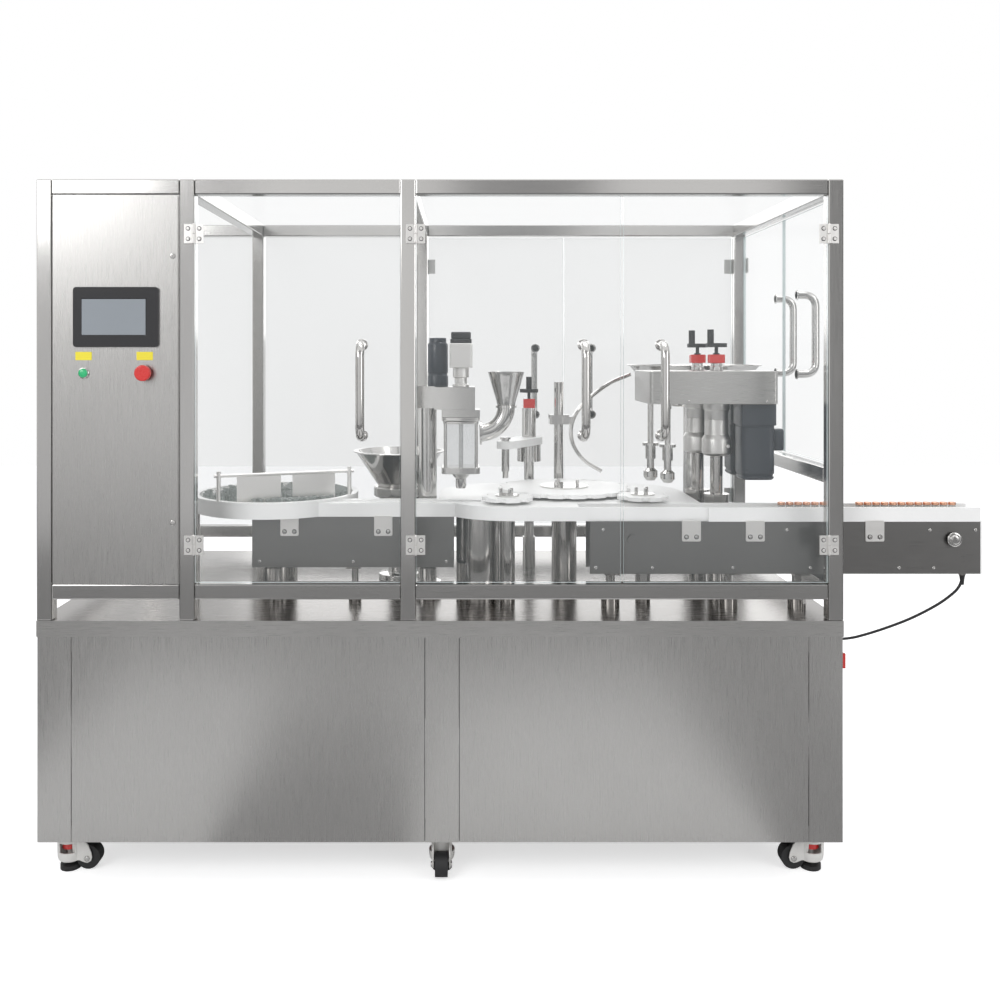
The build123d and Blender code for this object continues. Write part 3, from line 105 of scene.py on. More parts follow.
def flat(name, place, across, up, finish):
    """One rectangle round a place, spanned by two half sides, that belongs to the studio."""
    centre, a, b = np.array([place, across, up], float)
    corners = [tuple(centre + i * a + j * b) for i, j in ((-1, -1), (1, -1), (1, 1), (-1, 1))]
    mesh = bpy.data.meshes.new(name)
    mesh.from_pydata(corners, [], [[0, 1, 2, 3]])
    mesh.materials.append(finish)
    made = bpy.data.objects.new(name, mesh)
    scene.collection.objects.link(made)
    return made


def card(name, place, across, up, tone):
    """Grey card that only reflections see; it darkens part of what the steel mirrors."""
    finish = bpy.data.materials.new(name)
    finish.use_nodes = True
    tree = finish.node_tree
    tree.nodes.clear()
    glow = add(tree, "Emission", Color=(tone, tone, tone * 1.01, 1))
    feed(tree, add(tree, "OutputMaterial"), glow.outputs[0])
    made = flat(name, place, across, up, finish)
    made.visible_camera = made.visible_diffuse = False
    made.visible_shadow = made.visible_transmission = False


card("card_left", (-2.6, -5.2, 2.6), (0.9, 0, 0), (0, 0, 3.0), 0.72)
card("card_middle", (0.35, -5.6, 1.0), (0.55, 0, 0), (0, 0, 2.2), 0.42)
card("card_right", (3.0, -5.0, 1.2), (0.8, 0, 0), (0, 0, 2.0), 0.30)
card("card_high", (0, -4.2, 3.6), (4.0, 0, 0), (0, 0.9, 0.5), 0.45)
card("floor_card_far", (0.0, -3.5, 0.01), (4.0, 0, 0), (0, 1.35, 0), 0.30)
card("floor_card_left", (-2.1, -1.3, 0.01), (0.55, 0, 0), (0, 0.8, 0), 0.32)
card("floor_card_middle", (-0.55, -1.15, 0.01), (0.27, 0, 0), (0, 0.6, 0), 0.40)
card("floor_card_right", (1.05, -1.3, 0.01), (0.35, 0, 0), (0, 0.8, 0), 0.38)
for number, side in enumerate((-1, 1), 1):
    card(f"card_flank_{number}", (side * 3.1, -1.9, 1.2), (0, 0.55, 0), (0, 0, 1.4), 0.05)
card("card_side", (5.5, 0.6, 1.4), (0, 1.4, 0), (0, 0, 2.0), 0.15)

world = bpy.data.worlds.new("studio")
scene.world = world
world.use_nodes = True
tree = world.node_tree
tree.nodes.clear()
seen = add(tree, "Background", Color=(1, 1, 1, 1), Strength=1.0)
dim = add(tree, "Background", Color=(0.97, 0.975, 1.0, 1), Strength=0.50)
ray = add(tree, "LightPath")
shows_white = ray.outputs["Is Camera Ray"]
for kind in ("Is Transmission Ray", "Is Glossy Ray"):
    either = add(tree, "Math")
    either.operation = "MAXIMUM"
    shows_white = feed(tree, either, shows_white, ray.outputs[kind])
light = feed(tree, add(tree, "MixShader"), shows_white, dim.outputs[0], seen.outputs[0])
feed(tree, add(tree, "OutputWorld"), light)
scene.view_settings.view_transform = "Standard"

# %% [markdown]
# Finishes come first, because almost every surface here is one of a few: brushed sheet,
# polished tube, milled white plastic, clear sheet and moulded black plastic.
# Brushing is a noise stretched a hundred times along one axis, fed to roughness, bump and,
# faintly, to colour, so the sheet keeps its grain under any light.


# %% Material helpers
NOISE_LOW, NOISE_HIGH = 0.3, 0.7
STEEL_TINT = (1.0, 0.985, 0.962)
WARM_TINT = (1.0, 0.965, 0.93)


def material(name):
    """Empty node material with one principled shader, returned with its tree and shader."""
    made = bpy.data.materials.new(name)
    made.use_nodes = True
    shader = made.node_tree.nodes["Principled BSDF"]
    return made, made.node_tree, shader


def noise(tree, scale, detail=3.0, stretch=(1, 1, 1)):
    """Noise on object coordinates, each axis stretched by its own factor."""
    place = add(tree, "TexCoord").outputs["Object"]
    spread = feed(tree, add(tree, "Mapping", Scale=stretch), place)
    return feed(tree, add(tree, "TexNoise", Scale=scale, Detail=detail), spread)


def ramp(tree, source, low, high):
    """Turn a noise into a colour between low and high."""
    made = add(tree, "ValToRGB")
    for stop, place, colour in zip(made.color_ramp.elements, (NOISE_LOW, NOISE_HIGH), (low, high)):
        stop.position = place
        stop.color = (*colour, 1)
    return feed(tree, made, source)


def span(tree, source, low, high):
    """Map a noise's usual range onto low to high."""
    made = add(tree, "MapRange", From_Min=NOISE_LOW, From_Max=NOISE_HIGH, To_Min=low, To_Max=high)
    return feed(tree, made, source)


def bump(tree, shader, source, strength, distance):
    """Bump from a noise into the shader's normal."""
    made = add(tree, "Bump", Strength=strength, Distance=distance)
    tree.links.new(source, made.inputs["Height"])
    tree.links.new(made.outputs[0], shader.inputs["Normal"])


def steel(name, tone, rough, grain, along="Z", spread=0.015, relief=0.012, tint=STEEL_TINT):
    """Brushed or polished steel whose fine lines run along one axis."""
    made, tree, shader = material(name)
    fine = {"X": (0.01, 1, 1), "Y": (1, 0.01, 1), "Z": (1, 1, 0.01)}[along]
    lines = noise(tree, grain, 4.0, fine)
    cloud = noise(tree, 2.3, 2.0)
    low = tuple(tone * c * (1 - spread) for c in tint)
    high = tuple(min(1.0, tone * c * (1 + spread)) for c in tint)
    both = add(tree, "MixRGB")
    both.blend_type = "MULTIPLY"
    both.inputs[0].default_value = 0.5
    tree.links.new(ramp(tree, lines, low, high), both.inputs[1])
    tree.links.new(ramp(tree, cloud, (0.86, 0.86, 0.86), (1, 1, 1)), both.inputs[2])
    tree.links.new(both.outputs[0], shader.inputs["Base Color"])
    tree.links.new(span(tree, lines, rough * 0.8, rough * 1.25), shader.inputs["Roughness"])
    shader.inputs["Metallic"].default_value = 1.0
    bump(tree, shader, lines, relief, 0.0002)
    return made


def plastic(name, colour, rough, grain=420, coat=0.0, wear=0.04):
    """Moulded or milled plastic with a faint grain and a little unevenness of colour."""
    made, tree, shader = material(name)
    grain_noise = noise(tree, grain, 2.0)
    cloud = noise(tree, 5.0, 3.0)
    low = tuple(c * (1 - wear) for c in colour)
    tree.links.new(ramp(tree, cloud, low, colour), shader.inputs["Base Color"])
    tree.links.new(span(tree, grain_noise, rough * 0.85, rough * 1.15), shader.inputs["Roughness"])
    shader.inputs["Coat Weight"].default_value = coat
    bump(tree, shader, grain_noise, 0.08, 0.0002)
    return made


def clear(name, tint, rough, alpha):
    """Thin clear sheet: mostly open, with a gloss that grows towards grazing angles."""
    made, tree, shader = material(name)
    smudge = noise(tree, 7.0, 4.0)
    shader.inputs["Base Color"].default_value = (*tint, 1)
    tree.links.new(span(tree, smudge, rough, rough * 3), shader.inputs["Roughness"])
    shader.inputs["Alpha"].default_value = alpha
    shader.inputs["IOR"].default_value = 1.49
    made.surface_render_method = "BLENDED"
    return made


sheet_up = steel("sheet_brushed_upright", 0.52, 0.29, 1400, "Z")
sheet_along = steel("sheet_brushed_lengthwise", 0.52, 0.30, 1400, "X")
deck_sheet = steel("deck_sheet", 0.33, 0.24, 1400, "X", tint=WARM_TINT)
column_steel = steel("column_steel", 0.47, 0.12, 1100, "Z", 0.03, 0.02, WARM_TINT)
sheet_dark = steel("conveyor_sheet", 0.21, 0.34, 1400, "X", 0.02, 0.01)
tube_up = steel("tube_polished_upright", 0.56, 0.15, 900, "Z")
tube_along = steel("tube_polished_lengthwise", 0.56, 0.15, 900, "X")
tube_deep = steel("tube_polished_depthwise", 0.54, 0.16, 900, "Y")
turned_steel = steel("turned_steel", 0.62, 0.13, 1100, "Z", 0.03, 0.02)
satin_steel = steel("satin_steel", 0.80, 0.40, 900, "X", 0.02, 0.01)
link_steel = steel("chain_link_steel", 0.50, 0.22, 900, "X", 0.04, 0.03)
cast_paint = plastic("cast_paint", (0.80, 0.79, 0.76), 0.38, 260, 0.2)
white_plastic = plastic("milled_white_plastic", (0.925, 0.925, 0.915), 0.42, 500)
black_plastic = plastic("moulded_black", (0.022, 0.022, 0.024), 0.42, 700, 0.1, 0.2)
gloss_black = plastic("gloss_black", (0.018, 0.018, 0.02), 0.16, 500, 0.4, 0.1)
tyre_rubber = plastic("tyre_rubber", (0.020, 0.020, 0.021), 0.55, 500, 0.0, 0.2)
signal_red = plastic("signal_red", (0.70, 0.035, 0.030), 0.28, 400, 0.4)
lens_green = plastic("lens_green", (0.03, 0.52, 0.20), 0.2, 400, 0.6)
legend_yellow = plastic("legend_yellow", (0.93, 0.80, 0.05), 0.4, 400)
motor_paint = plastic("motor_paint", (0.022, 0.029, 0.042), 0.34, 300, 0.2)
screen_grey = plastic("screen_glass", (0.30, 0.33, 0.36), 0.10, 200, 0.6)
copper = steel("copper_cap", 0.95, 0.30, 600, "Z", 0.05, 0.02, (0.93, 0.52, 0.36))
cable_jacket = plastic("cable_jacket", (0.016, 0.016, 0.017), 0.45, 800)
pane_clear = clear("clear_pane", (0.80, 0.85, 0.85), 0.03, 0.04)
pane_rear = clear("pane_rear", (0.55, 0.57, 0.57), 0.03, 0.13)
vial_glass = clear("vial_glass", (0.50, 0.54, 0.52), 0.06, 0.42)
hopper_acrylic = clear("hopper_acrylic", (0.92, 0.95, 0.96), 0.04, 0.16)
pane_edge = plastic("pane_edge", (0.66, 0.74, 0.74), 0.2, 300, 0.5)
cast_metal = steel("cast_metal_satin", 0.66, 0.34, 600, "Z", 0.03, 0.05)
print("finishes", len(bpy.data.materials))

# %% [markdown]
# Every new surface is a grid: two parameters, one row of points for each step of the first.
# A lathe turns a profile about an upright line, a sweep carries a circle along a path,
# and a block is the eight corners of a box with its edges rounded by a Bevel modifier.


# %% Mesh helpers
def round_edges(piece, width):
    """Bevel modifier for the sharp edges, its width in millimetres."""
    edges = piece.modifiers.new("edges", "BEVEL")
    edges.width = width / 1000
    edges.segments = 2
    edges.limit_method = "ANGLE"


def put(name, points, faces, finish, body="machine", slot="bright_steel", smooth=True, bevel=0.0):
    """Make a mesh object from points in millimetres and let it ride on a body."""
    mesh = bpy.data.meshes.new(name)
    mesh.from_pydata((np.asarray(points, float) / 1000).tolist(), [], [list(f) for f in faces])
    mesh.materials.append(finish)
    mesh.polygons.foreach_set("use_smooth", [smooth] * len(mesh.polygons))
    mesh.update()
    if smooth:
        mesh.set_sharp_from_angle(angle=np.radians(24))
    made = bpy.data.objects.new(name, mesh)
    scene.collection.objects.link(made)
    if bevel > 0:
        round_edges(made, bevel)
    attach(made, body)
    return made


def grid_faces(rows, columns):
    """Quads between neighbouring rows, the last column joined to the first."""
    index = np.arange(rows * columns).reshape(rows, columns)
    right = np.roll(index, -1, axis=1)
    return np.stack([index[:-1], right[:-1], right[1:], index[1:]], axis=-1).reshape(-1, 4)


def capped(rows, columns):
    """Faces of a closed tube: its grid wrapped round, and one cap at each end."""
    ends = [list(range(columns))[::-1], list(range((rows - 1) * columns, rows * columns))]
    return grid_faces(rows, columns).tolist() + ends


def unit(ways):
    """Each direction scaled to length one."""
    return ways / np.linalg.norm(ways, axis=-1, keepdims=True)


def lathe(profile, x, y, around=48):
    """Point (r cos a, r sin a, z) for each (r, z) of the profile and each angle a."""
    profile = np.asarray(profile, float)
    angle = np.linspace(0, 2 * np.pi, around, endpoint=False)
    radius, height = profile[:, :1], profile[:, 1:]
    ring = np.stack(
        [x + radius * np.cos(angle), y + radius * np.sin(angle), height + 0 * angle], axis=-1
    )
    return ring.reshape(-1, 3), grid_faces(len(profile), around)


def join(parts):
    """Gather several (points, faces) pairs into one."""
    points, faces, start = [], [], 0
    for some_points, some_faces in parts:
        points.append(np.asarray(some_points, float))
        faces.extend((np.asarray(face) + start).tolist() for face in some_faces)
        start += len(some_points)
    return np.concatenate(points), faces


def soften(profile, cut=0.8):
    """Replace each corner of a profile by two points a little along its two sides."""
    p = np.asarray(profile, float)
    back, ahead = p[:-2] - p[1:-1], p[2:] - p[1:-1]
    long_back = np.linalg.norm(back, axis=1, keepdims=True)
    long_ahead = np.linalg.norm(ahead, axis=1, keepdims=True)
    near = p[1:-1] + back / long_back * np.minimum(cut, 0.3 * long_back)
    far = p[1:-1] + ahead / long_ahead * np.minimum(cut, 0.3 * long_ahead)
    middle = np.stack([near, far], axis=1).reshape(-1, 2)
    return np.concatenate([p[:1], middle, p[-1:]])


def turned(profile, x, y, around=48, cut=0.8):
    """Lathe part with softened corners; a profile that starts and ends on the axis is closed."""
    return lathe(soften(profile, cut), x, y, around)


def block(low, high):
    """Eight corners and six faces of a box."""
    low, high = np.minimum(low, high), np.maximum(low, high)
    share = np.array([[i, j, k] for i in (0, 1) for j in (0, 1) for k in (0, 1)])
    faces = [[0, 1, 3, 2], [4, 6, 7, 5], [0, 4, 5, 1], [2, 3, 7, 6], [0, 2, 6, 4], [1, 5, 7, 3]]
    return low + share * (np.asarray(high) - low), faces


def rounded(x, y, length, width, radius, around=6):
    """Outline of a rounded rectangle, counter-clockwise, as (n, 2) points."""
    turn = np.linspace(0, np.pi / 2, around)
    corners = []
    for k, (side_x, side_y) in enumerate([(1, 1), (-1, 1), (-1, -1), (1, -1)]):
        a = turn + k * np.pi / 2
        middle = (x + side_x * (length / 2 - radius), y + side_y * (width / 2 - radius))
        corners.append(np.stack([middle[0] + radius * np.cos(a), middle[1] + radius * np.sin(a)], 1))
    return np.concatenate(corners)


def level(ring, height):
    """Flat ring of (x, y) points lifted to one height."""
    return np.column_stack([ring, np.full(len(ring), height)])


def slab(outline, low, high, cut=0.8):
    """Outline raised from low to high, its two rims cut back so that they catch the light."""
    o = np.asarray(outline, float)
    middle = o.mean(0)
    reach = np.linalg.norm(o - middle, axis=1, keepdims=True)
    shrunk = middle + (o - middle) * (1 - cut / reach)
    levels = ((shrunk, low), (o, low + cut), (o, high - cut), (shrunk, high))
    points = np.concatenate([level(ring, height) for ring, height in levels])
    return points, capped(len(levels), len(o))


def sweep(path, radius, side, around=16, closed=True):
    """Circle carried along a path; side is a direction that the path never points along."""
    p = np.asarray(path, float)
    ahead = unit(np.gradient(p, axis=0))
    across = unit(np.cross(ahead, side))
    up = np.cross(ahead, across)
    angle = np.linspace(0, 2 * np.pi, around, endpoint=False)[:, None]
    ring = p[:, None] + radius * (across[:, None] * np.cos(angle) + up[:, None] * np.sin(angle))
    faces = capped(len(p), around) if closed else grid_faces(len(p), around)
    return ring.reshape(-1, 3), faces


def bent(corners, radius, steps=8):
    """Path through corner points, each corner rounded by a quadratic curve."""
    c = np.asarray(corners, float)
    pieces = [c[:1]]
    share = np.linspace(0, 1, steps)[:, None]
    for before, corner, after in zip(c, c[1:], c[2:]):
        start = corner + unit(before - corner) * radius
        stop = corner + unit(after - corner) * radius
        pieces.append((1 - share) ** 2 * start + 2 * share * (1 - share) * corner + share**2 * stop)
    pieces.append(c[-1:])
    return np.concatenate(pieces)


def upright(points, faces, y):
    """Carry a shape drawn as (x, z, height) onto the plane at depth y, height running forward."""
    p = np.asarray(points, float)
    return np.column_stack([p[:, 0], y - p[:, 2], p[:, 1]]), faces


def disc_front(x, y, z, profile, around=32, cut=0.4):
    """Turned piece whose profile heights run forward from the plane at depth y."""
    return upright(*turned(profile, x, z, around, cut), y)


def screw_front(x, y, z, radius, height):
    """Pan head screw with a hexagon socket, looking forward."""
    head = [(0, 0), (radius, 0), (radius, 0.6 * height), (0.72 * radius, height)]
    socket = [(0.5 * radius, height), (0.45 * radius, 0.35 * height), (0, 0.35 * height)]
    return disc_front(x, y, z, head + socket, 12, 0.2)


print("helpers ready")

# %% [markdown]
# Most solids already have the right shape, so they stay and only get a finish.
# Where one solid mixes two finishes, its triangles are sorted by where they lie.

# %% Finishes for the solids that stay
TURNTABLE = (-667, -105)
RIM_LOW, RIM_TOP, RIM_INSIDE = 888, 933, 213
PAD_TOP, HAND_WHEEL_LOW, HAND_WHEEL_TOP = 22, 53, 67
ARM_LOW, ARM_TOP, DIAL_LOW, STAND_RIGHT = 1043.1, 1065.1, 1156.1, 115
TRAY_TOP, TRAY_EDGE = 654, 444
REAR_GLASS, ROOF_GLASS = 400, 1722
SWITCH_PLATE = 813.1
STAR_FACE = 943.2


def dress(node, *finishes):
    """Give a solid these finishes and nothing else."""
    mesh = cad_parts[node].data
    mesh.materials.clear()
    for finish in finishes:
        mesh.materials.append(finish)
    return mesh


def sort_faces(node, finishes, choose):
    """Give each triangle the finish whose number choose() works out from its middle."""
    mesh = dress(node, *finishes)
    spots = np.zeros(len(mesh.vertices) * 3)
    mesh.vertices.foreach_get("co", spots)
    corner = np.zeros(len(mesh.loops), int)
    mesh.loops.foreach_get("vertex_index", corner)
    middle = spots.reshape(-1, 3)[corner.reshape(-1, 3)].mean(1) * 1000
    mesh.polygons.foreach_set("material_index", choose(*middle.T).astype(int))
    mesh.update()


def between(heights, low, high):
    """Which heights lie between two others."""
    return (heights > low) & (heights < high)


plain = [
    (sheet_up, "base_frame", "control_box", "control_door"),
    (sheet_dark, "conveyor_sides", "drive_roller"),
    (screen_grey, "screen_glass"),
    (signal_red, "main_switch", "stop_button"),
    (satin_steel, "turntable_disc"),
    (column_steel, "table_supports"),
    (link_steel, "conveyor_chain"),
    (white_plastic, "table_plate", "guide_rails"),
    (turned_steel, "end_roller", "filler_stand", "auger", "stopper_plunger"),
    (turned_steel, "capping_spindle_1", "capping_spindle_2"),
    (black_plastic, "stopper_knob", "capper_knob_1", "capper_knob_2"),
    (tyre_rubber, *[f"caster_wheel_{number}" for number in range(1, 7)]),
]
for finish, *nodes in plain:
    for node in nodes:
        dress(node, finish)

sorted_faces = {
    "turntable_rim": (
        [white_plastic, satin_steel],
        lambda x, y, z: (z > RIM_TOP) | (z < RIM_LOW)
        | (np.hypot(x - TURNTABLE[0], y - TURNTABLE[1]) < RIM_INSIDE),
    ),
    "caster_mounts": (
        [cast_paint, tyre_rubber, signal_red],
        lambda x, y, z: (z < PAD_TOP) + 2 * between(z, HAND_WHEEL_LOW, HAND_WHEEL_TOP),
    ),
    "stopper_stand": (
        [turned_steel, white_plastic, signal_red],
        lambda x, y, z: (between(z, ARM_LOW, ARM_TOP) + 2 * (z > DIAL_LOW)) * (x < STAND_RIGHT),
    ),
    "deck_plate": (
        [sheet_along, deck_sheet],
        lambda x, y, z: (z > TRAY_TOP) & (np.abs(y) < TRAY_EDGE),
    ),
    "fixed_windows": (
        [pane_clear, pane_rear],
        lambda x, y, z: (y > REAR_GLASS) & (z < ROOF_GLASS),
    ),
    "base_panels": ([sheet_up, gloss_black], lambda x, y, z: x > SWITCH_PLATE),
}
for wheel in ("main", "infeed", "outfeed"):
    sorted_faces["star_wheel_" + wheel] = ([white_plastic, turned_steel], lambda x, y, z: z > STAR_FACE)
for node, (finishes, choose) in sorted_faces.items():
    sort_faces(node, finishes, choose)
print("solids with finishes", sum(len(row) - 1 for row in plain) + len(sorted_faces))

# %% [markdown]
# The enclosure is welded from 38 mm square tube, ground and polished along each tube.
# Each run of tubes is one piece, split by direction, so that the polish lines follow it.
# The edges get a real 3 mm rounding, because that is where polished tube shows its bright line.

# %% Enclosure tubes
POST_X = (-1186, -829, -275, 796)
POST_Y = 431
HALF_TUBE = 19
TUBE_EDGE = 3
WELD_GAP = 0.2
DECK_TOP, ROOF = 655.2, 1760
LOW_RAIL, SIDE_RAIL, TOP_RAIL = 708, 996, 1722
posts = [
    block(
        (x - HALF_TUBE, side * POST_Y - HALF_TUBE, DECK_TOP),
        (x + HALF_TUBE, side * POST_Y + HALF_TUBE, ROOF),
    )
    for x in POST_X
    for side in (-1, 1)
]
post_piece = put("enclosure_posts", *join(posts), tube_up, "machine", "frame_steel", False, TUBE_EDGE)
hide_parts("enclosure_frame")
bays = [(a + HALF_TUBE + WELD_GAP, b - HALF_TUBE - WELD_GAP) for a, b in zip(POST_X, POST_X[1:])]
rails = [
    block((start, side * POST_Y - HALF_TUBE, low), (stop, side * POST_Y + HALF_TUBE, low + 2 * HALF_TUBE))
    for start, stop in bays
    for side in (-1, 1)
    for low in (LOW_RAIL, TOP_RAIL)
]
put("enclosure_rails", *join(rails), tube_along, "machine", "frame_steel", False, TUBE_EDGE)
cross_end = POST_Y - HALF_TUBE - WELD_GAP
cross_places = [(x, TOP_RAIL) for x in POST_X]
cross_places += [(POST_X[0], LOW_RAIL), (POST_X[3], LOW_RAIL), (POST_X[3], SIDE_RAIL)]
cross = [
    block((x - HALF_TUBE, -cross_end, low), (x + HALF_TUBE, cross_end, low + 2 * HALF_TUBE))
    for x, low in cross_places
]
put("enclosure_cross_rails", *join(cross), tube_deep, "machine", "frame_steel", False, TUBE_EDGE)
print("tubes", len(posts) + len(rails) + len(cross))

# %% [markdown]
# A door is a clear sheet with polished edges, a bent tube handle and two lift-off hinges.
# Every door is described by its hinge line and two directions: along the sheet and outward.
# The same few lines then make all seven, and the fixed half of each hinge stays on its post.

# %% Door parts
EAST, WEST, NORTH, SOUTH = (1, 0), (-1, 0), (0, 1), (0, -1)
DOOR_TOP = 1718
SHEET_FACE, SHEET_BACK = -4.5, -12.5
HINGE_INSET = 95
LEAF = 24
GRIP_HALF, GRIP_OUT, GRIP_RADIUS = 113, 50.5, 10.9


def hung(points, faces, hinge, along, outward):
    """Carry a shape from door axes (along, outward, up) to the machine's, faces still outward."""
    p = np.asarray(points, float)
    flat = np.asarray(hinge) + p[:, :1] * np.asarray(along) + p[:, 1:2] * np.asarray(outward)
    if along[0] * outward[1] - along[1] * outward[0] < 0:
        faces = [list(face)[::-1] for face in faces]
    return np.column_stack([flat, p[:, 2]]), faces


def disc_out(profile, u, start, height, around, cut):
    """Turned piece in door axes whose profile heights run outward from start."""
    points, faces = turned(profile, 0, 0, around, cut)
    return np.column_stack([u + points[:, 0], start + points[:, 2], height - points[:, 1]]), faces


def hinge_half(side, height):
    """Metal parts and dark discs under the screw heads, painted shade of their recesses; side is 1 for the
    door's half and -1 for the post's.
    """
    leaf = block((side * 3, -3.4, height - LEAF), (side * LEAF, -0.4, height + LEAF))
    low = height if side > 0 else height - LEAF
    barrel = [(0, low + 0.3), (4.4, low + 0.3), (4.4, low + LEAF - 0.3), (0, low + LEAF - 0.3)]
    tip = height + LEAF * side
    foot, crown = tip - 1.2 * side, tip + 1.6 * side
    dome = [(0, foot), (3.3, foot), (2.2, crown), (0, crown)]
    metal = [leaf, turned(barrel, 0, 0, 24, 0.6), turned(dome[::side], 0, 0, 24, 0.4)]
    head = [(4.0, 0), (4.0, 1.1), (3.6, 1.5), (1.8, 1.5), (1.7, 0.7), (0, 0.7)]
    # Painted shade: a thin dark disc under each screw head stands for the shade in its recess.
    shade_disc = [(0, -0.15), (5.6, -0.15), (5.6, 0.15), (0, 0.15)]
    screws, shade_discs = (
        [disc_out(profile, side * 14, -0.2, height + step, 14, 0.1) for step in (-13, 13)]
        for profile in (head, shade_disc)
    )
    return metal + screws, shade_discs


def hinges(side, low):
    """Both hinges' halves on one side, as one metal shape and one dark shape of painted shade under the
    screws.
    """
    halves = [hinge_half(side, height) for height in (low + HINGE_INSET, DOOR_TOP - HINGE_INSET)]
    return [join([part for half in halves for part in half[kind]]) for kind in (0, 1)]


def make_door(name, hinge, along, outward, width, heights, grip_u):
    """Sheet, handle and hinges on the door's own body; gives back the post's hinge halves."""
    low, grip_height = heights
    swing = (hinge, along, outward)
    glass = pane_rear if outward == NORTH else pane_clear
    sheet = hung(*block((2, SHEET_BACK, low), (2 + width, SHEET_FACE, DOOR_TOP)), *swing)
    pane = put(name + "_pane", *sheet, glass, name, "clear_pane", False, 0.8)
    pane.data.materials.append(pane_edge)
    narrow = [0 if face.area > 0.2 else 1 for face in pane.data.polygons]
    pane.data.polygons.foreach_set("material_index", narrow)
    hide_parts(name)
    corners = [
        (grip_u, out, grip_height + side * GRIP_HALF)
        for out, side in ((SHEET_FACE, -1), (GRIP_OUT, -1), (GRIP_OUT, 1), (SHEET_FACE, 1))
    ]
    foot = [(0, 0), (15, 0), (15, 2.4), (11.5, 4), (0, 4)]
    handle = [sweep(bent(corners, 34), GRIP_RADIUS, (1, 0, 0), 20)]
    for side in (-1, 1):
        handle.append(disc_out(foot, grip_u, SHEET_FACE, grip_height + side * GRIP_HALF, 28, 0.5))
    metal, dark = hinges(1, low)
    put(name + "_handle", *hung(*join(handle), *swing), turned_steel, name)
    put(name + "_hinges", *hung(*metal, *swing), satin_steel, name)
    put(name + "_screw_shade_discs", *hung(*dark, *swing), gloss_black, name)
    return [hung(*shape, *swing) for shape in hinges(-1, low)]


# %% Doors
PIN_OUT = 4.5
FRONT_Y = POST_Y + HALF_TUBE + PIN_OUT
SIDE_X = POST_X[3] + HALF_TUBE + PIN_OUT
SIDE_Y = POST_Y - HALF_TUBE
LEFT, MIDDLE, RIGHT = POST_X[1] + HALF_TUBE, POST_X[2] + HALF_TUBE, POST_X[3] - HALF_TUBE
# Lower edge of the sheet and middle of the handle.
LONG, SHORT = (750, 1232), (1038, 1379)
DOORS = [
    ("front_door_left", (LEFT, -FRONT_Y), EAST, SOUTH, 512, LONG, 420),
    ("front_door_middle", (MIDDLE, -FRONT_Y), EAST, SOUTH, 512, LONG, 419.5),
    ("front_door_right", (RIGHT, -FRONT_Y), WEST, SOUTH, 511, LONG, 419.5),
    ("rear_door_inner", (MIDDLE, FRONT_Y), EAST, NORTH, 457, LONG, 365),
    ("rear_door_outer", (RIGHT, FRONT_Y), WEST, NORTH, 568, LONG, 476),
    ("side_door_front", (SIDE_X, -SIDE_Y), NORTH, EAST, 408, SHORT, 316),
    ("side_door_rear", (SIDE_X, SIDE_Y), SOUTH, EAST, 408, SHORT, 316),
]
leaves, shade_discs = zip(*[make_door(*door) for door in DOORS])
put("hinge_fixed_leaves", *join(leaves), satin_steel)
# The dark discs round the post halves' screws are painted shade.
put("hinge_screw_shade_discs", *join(shade_discs), gloss_black, slot="black_plastic")
print("doors", len(DOORS))

# %% [markdown]
# The control panel is a flush brushed door with a touch screen in a black frame,
# a green lamp, a red stop head and two yellow legend plates, left blank here.

# %% Control panel
PANEL_Y = -448
SCREEN_X, SCREEN_Z = -1005, 1415
LAMP, STOP = (-1087, 1275), (-934, 1275)
LOCK_X = -864
LEGEND_Z = 1317.5
SHANK = -38


def on_panel(name, spots, profile, finish, slot, around=32, cut=0.4):
    """Turned pieces on the panel, one at each (x, z) spot."""
    made = [disc_front(x, PANEL_Y, z, profile, around, cut) for x, z in spots]
    put(name, *join(made), finish, "control_door", slot)


# Each ring of the screen's frame: length, width, corner radius, height, and its shift along X.
rings = [
    (214, 150, 8, 0.2, 0), (214, 150, 8, 5.6, 0), (212, 148, 7, 6.7, 0),
    (164, 94, 3, 6.7, -4), (161, 91, 2, 6.0, -4), (160, 90, 1.5, 3.9, -4),
]
ring_points = np.concatenate([
    level(rounded(SCREEN_X + shift, SCREEN_Z, length, width, radius), height)
    for length, width, radius, height, shift in rings
])
ring_faces = capped(len(rings), len(ring_points) // len(rings))
bezel_shape = upright(ring_points, ring_faces, PANEL_Y)
bezel = put("screen_frame", *bezel_shape, gloss_black, "control_door", "black_plastic", False)
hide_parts("door_fittings")
for name, (x, _) in (("lamp_legend", LAMP), ("stop_legend", STOP)):
    plate = upright(*slab(rounded(x, LEGEND_Z, 41, 21, 1.5), 0.1, 1.0, 0.2), PANEL_Y)
    put(name, *plate, legend_yellow, "control_door", "yellow_plate", False)
ring = [(0, SHANK), (10.8, SHANK), (10.8, 0.3), (14.5, 0.3), (14.5, 2.6), (12.2, 4.4), (0, 4.4)]
on_panel("lamp_ring", [LAMP], ring, turned_steel, "bright_steel")
lens_profile = [(0, 4.2), (11.6, 4.2), (11.2, 6.6), (8.5, 8.4), (4.5, 9.2), (0, 9.4)]
on_panel("lamp_lens", [LAMP], lens_profile, lens_green, "green_lens", 32, 0.6)
collar = [
    (8.4, SHANK), (10.8, SHANK), (10.8, 0.3), (15, 0.3), (15, 3.5), (13.5, 5.6), (8.4, 5.6), (8.4, SHANK)
]
on_panel("stop_ring", [STOP], collar, black_plastic, "black_plastic")
lock = [(0, 0.2), (7, 0.2), (7, 2.2), (5.6, 3), (2.6, 3), (2.6, 1.4), (0, 1.4)]
on_panel("panel_locks", [(LOCK_X, 900), (LOCK_X, 1568)], lock, turned_steel, "bright_steel", 24, 0.3)
print("panel dressed")
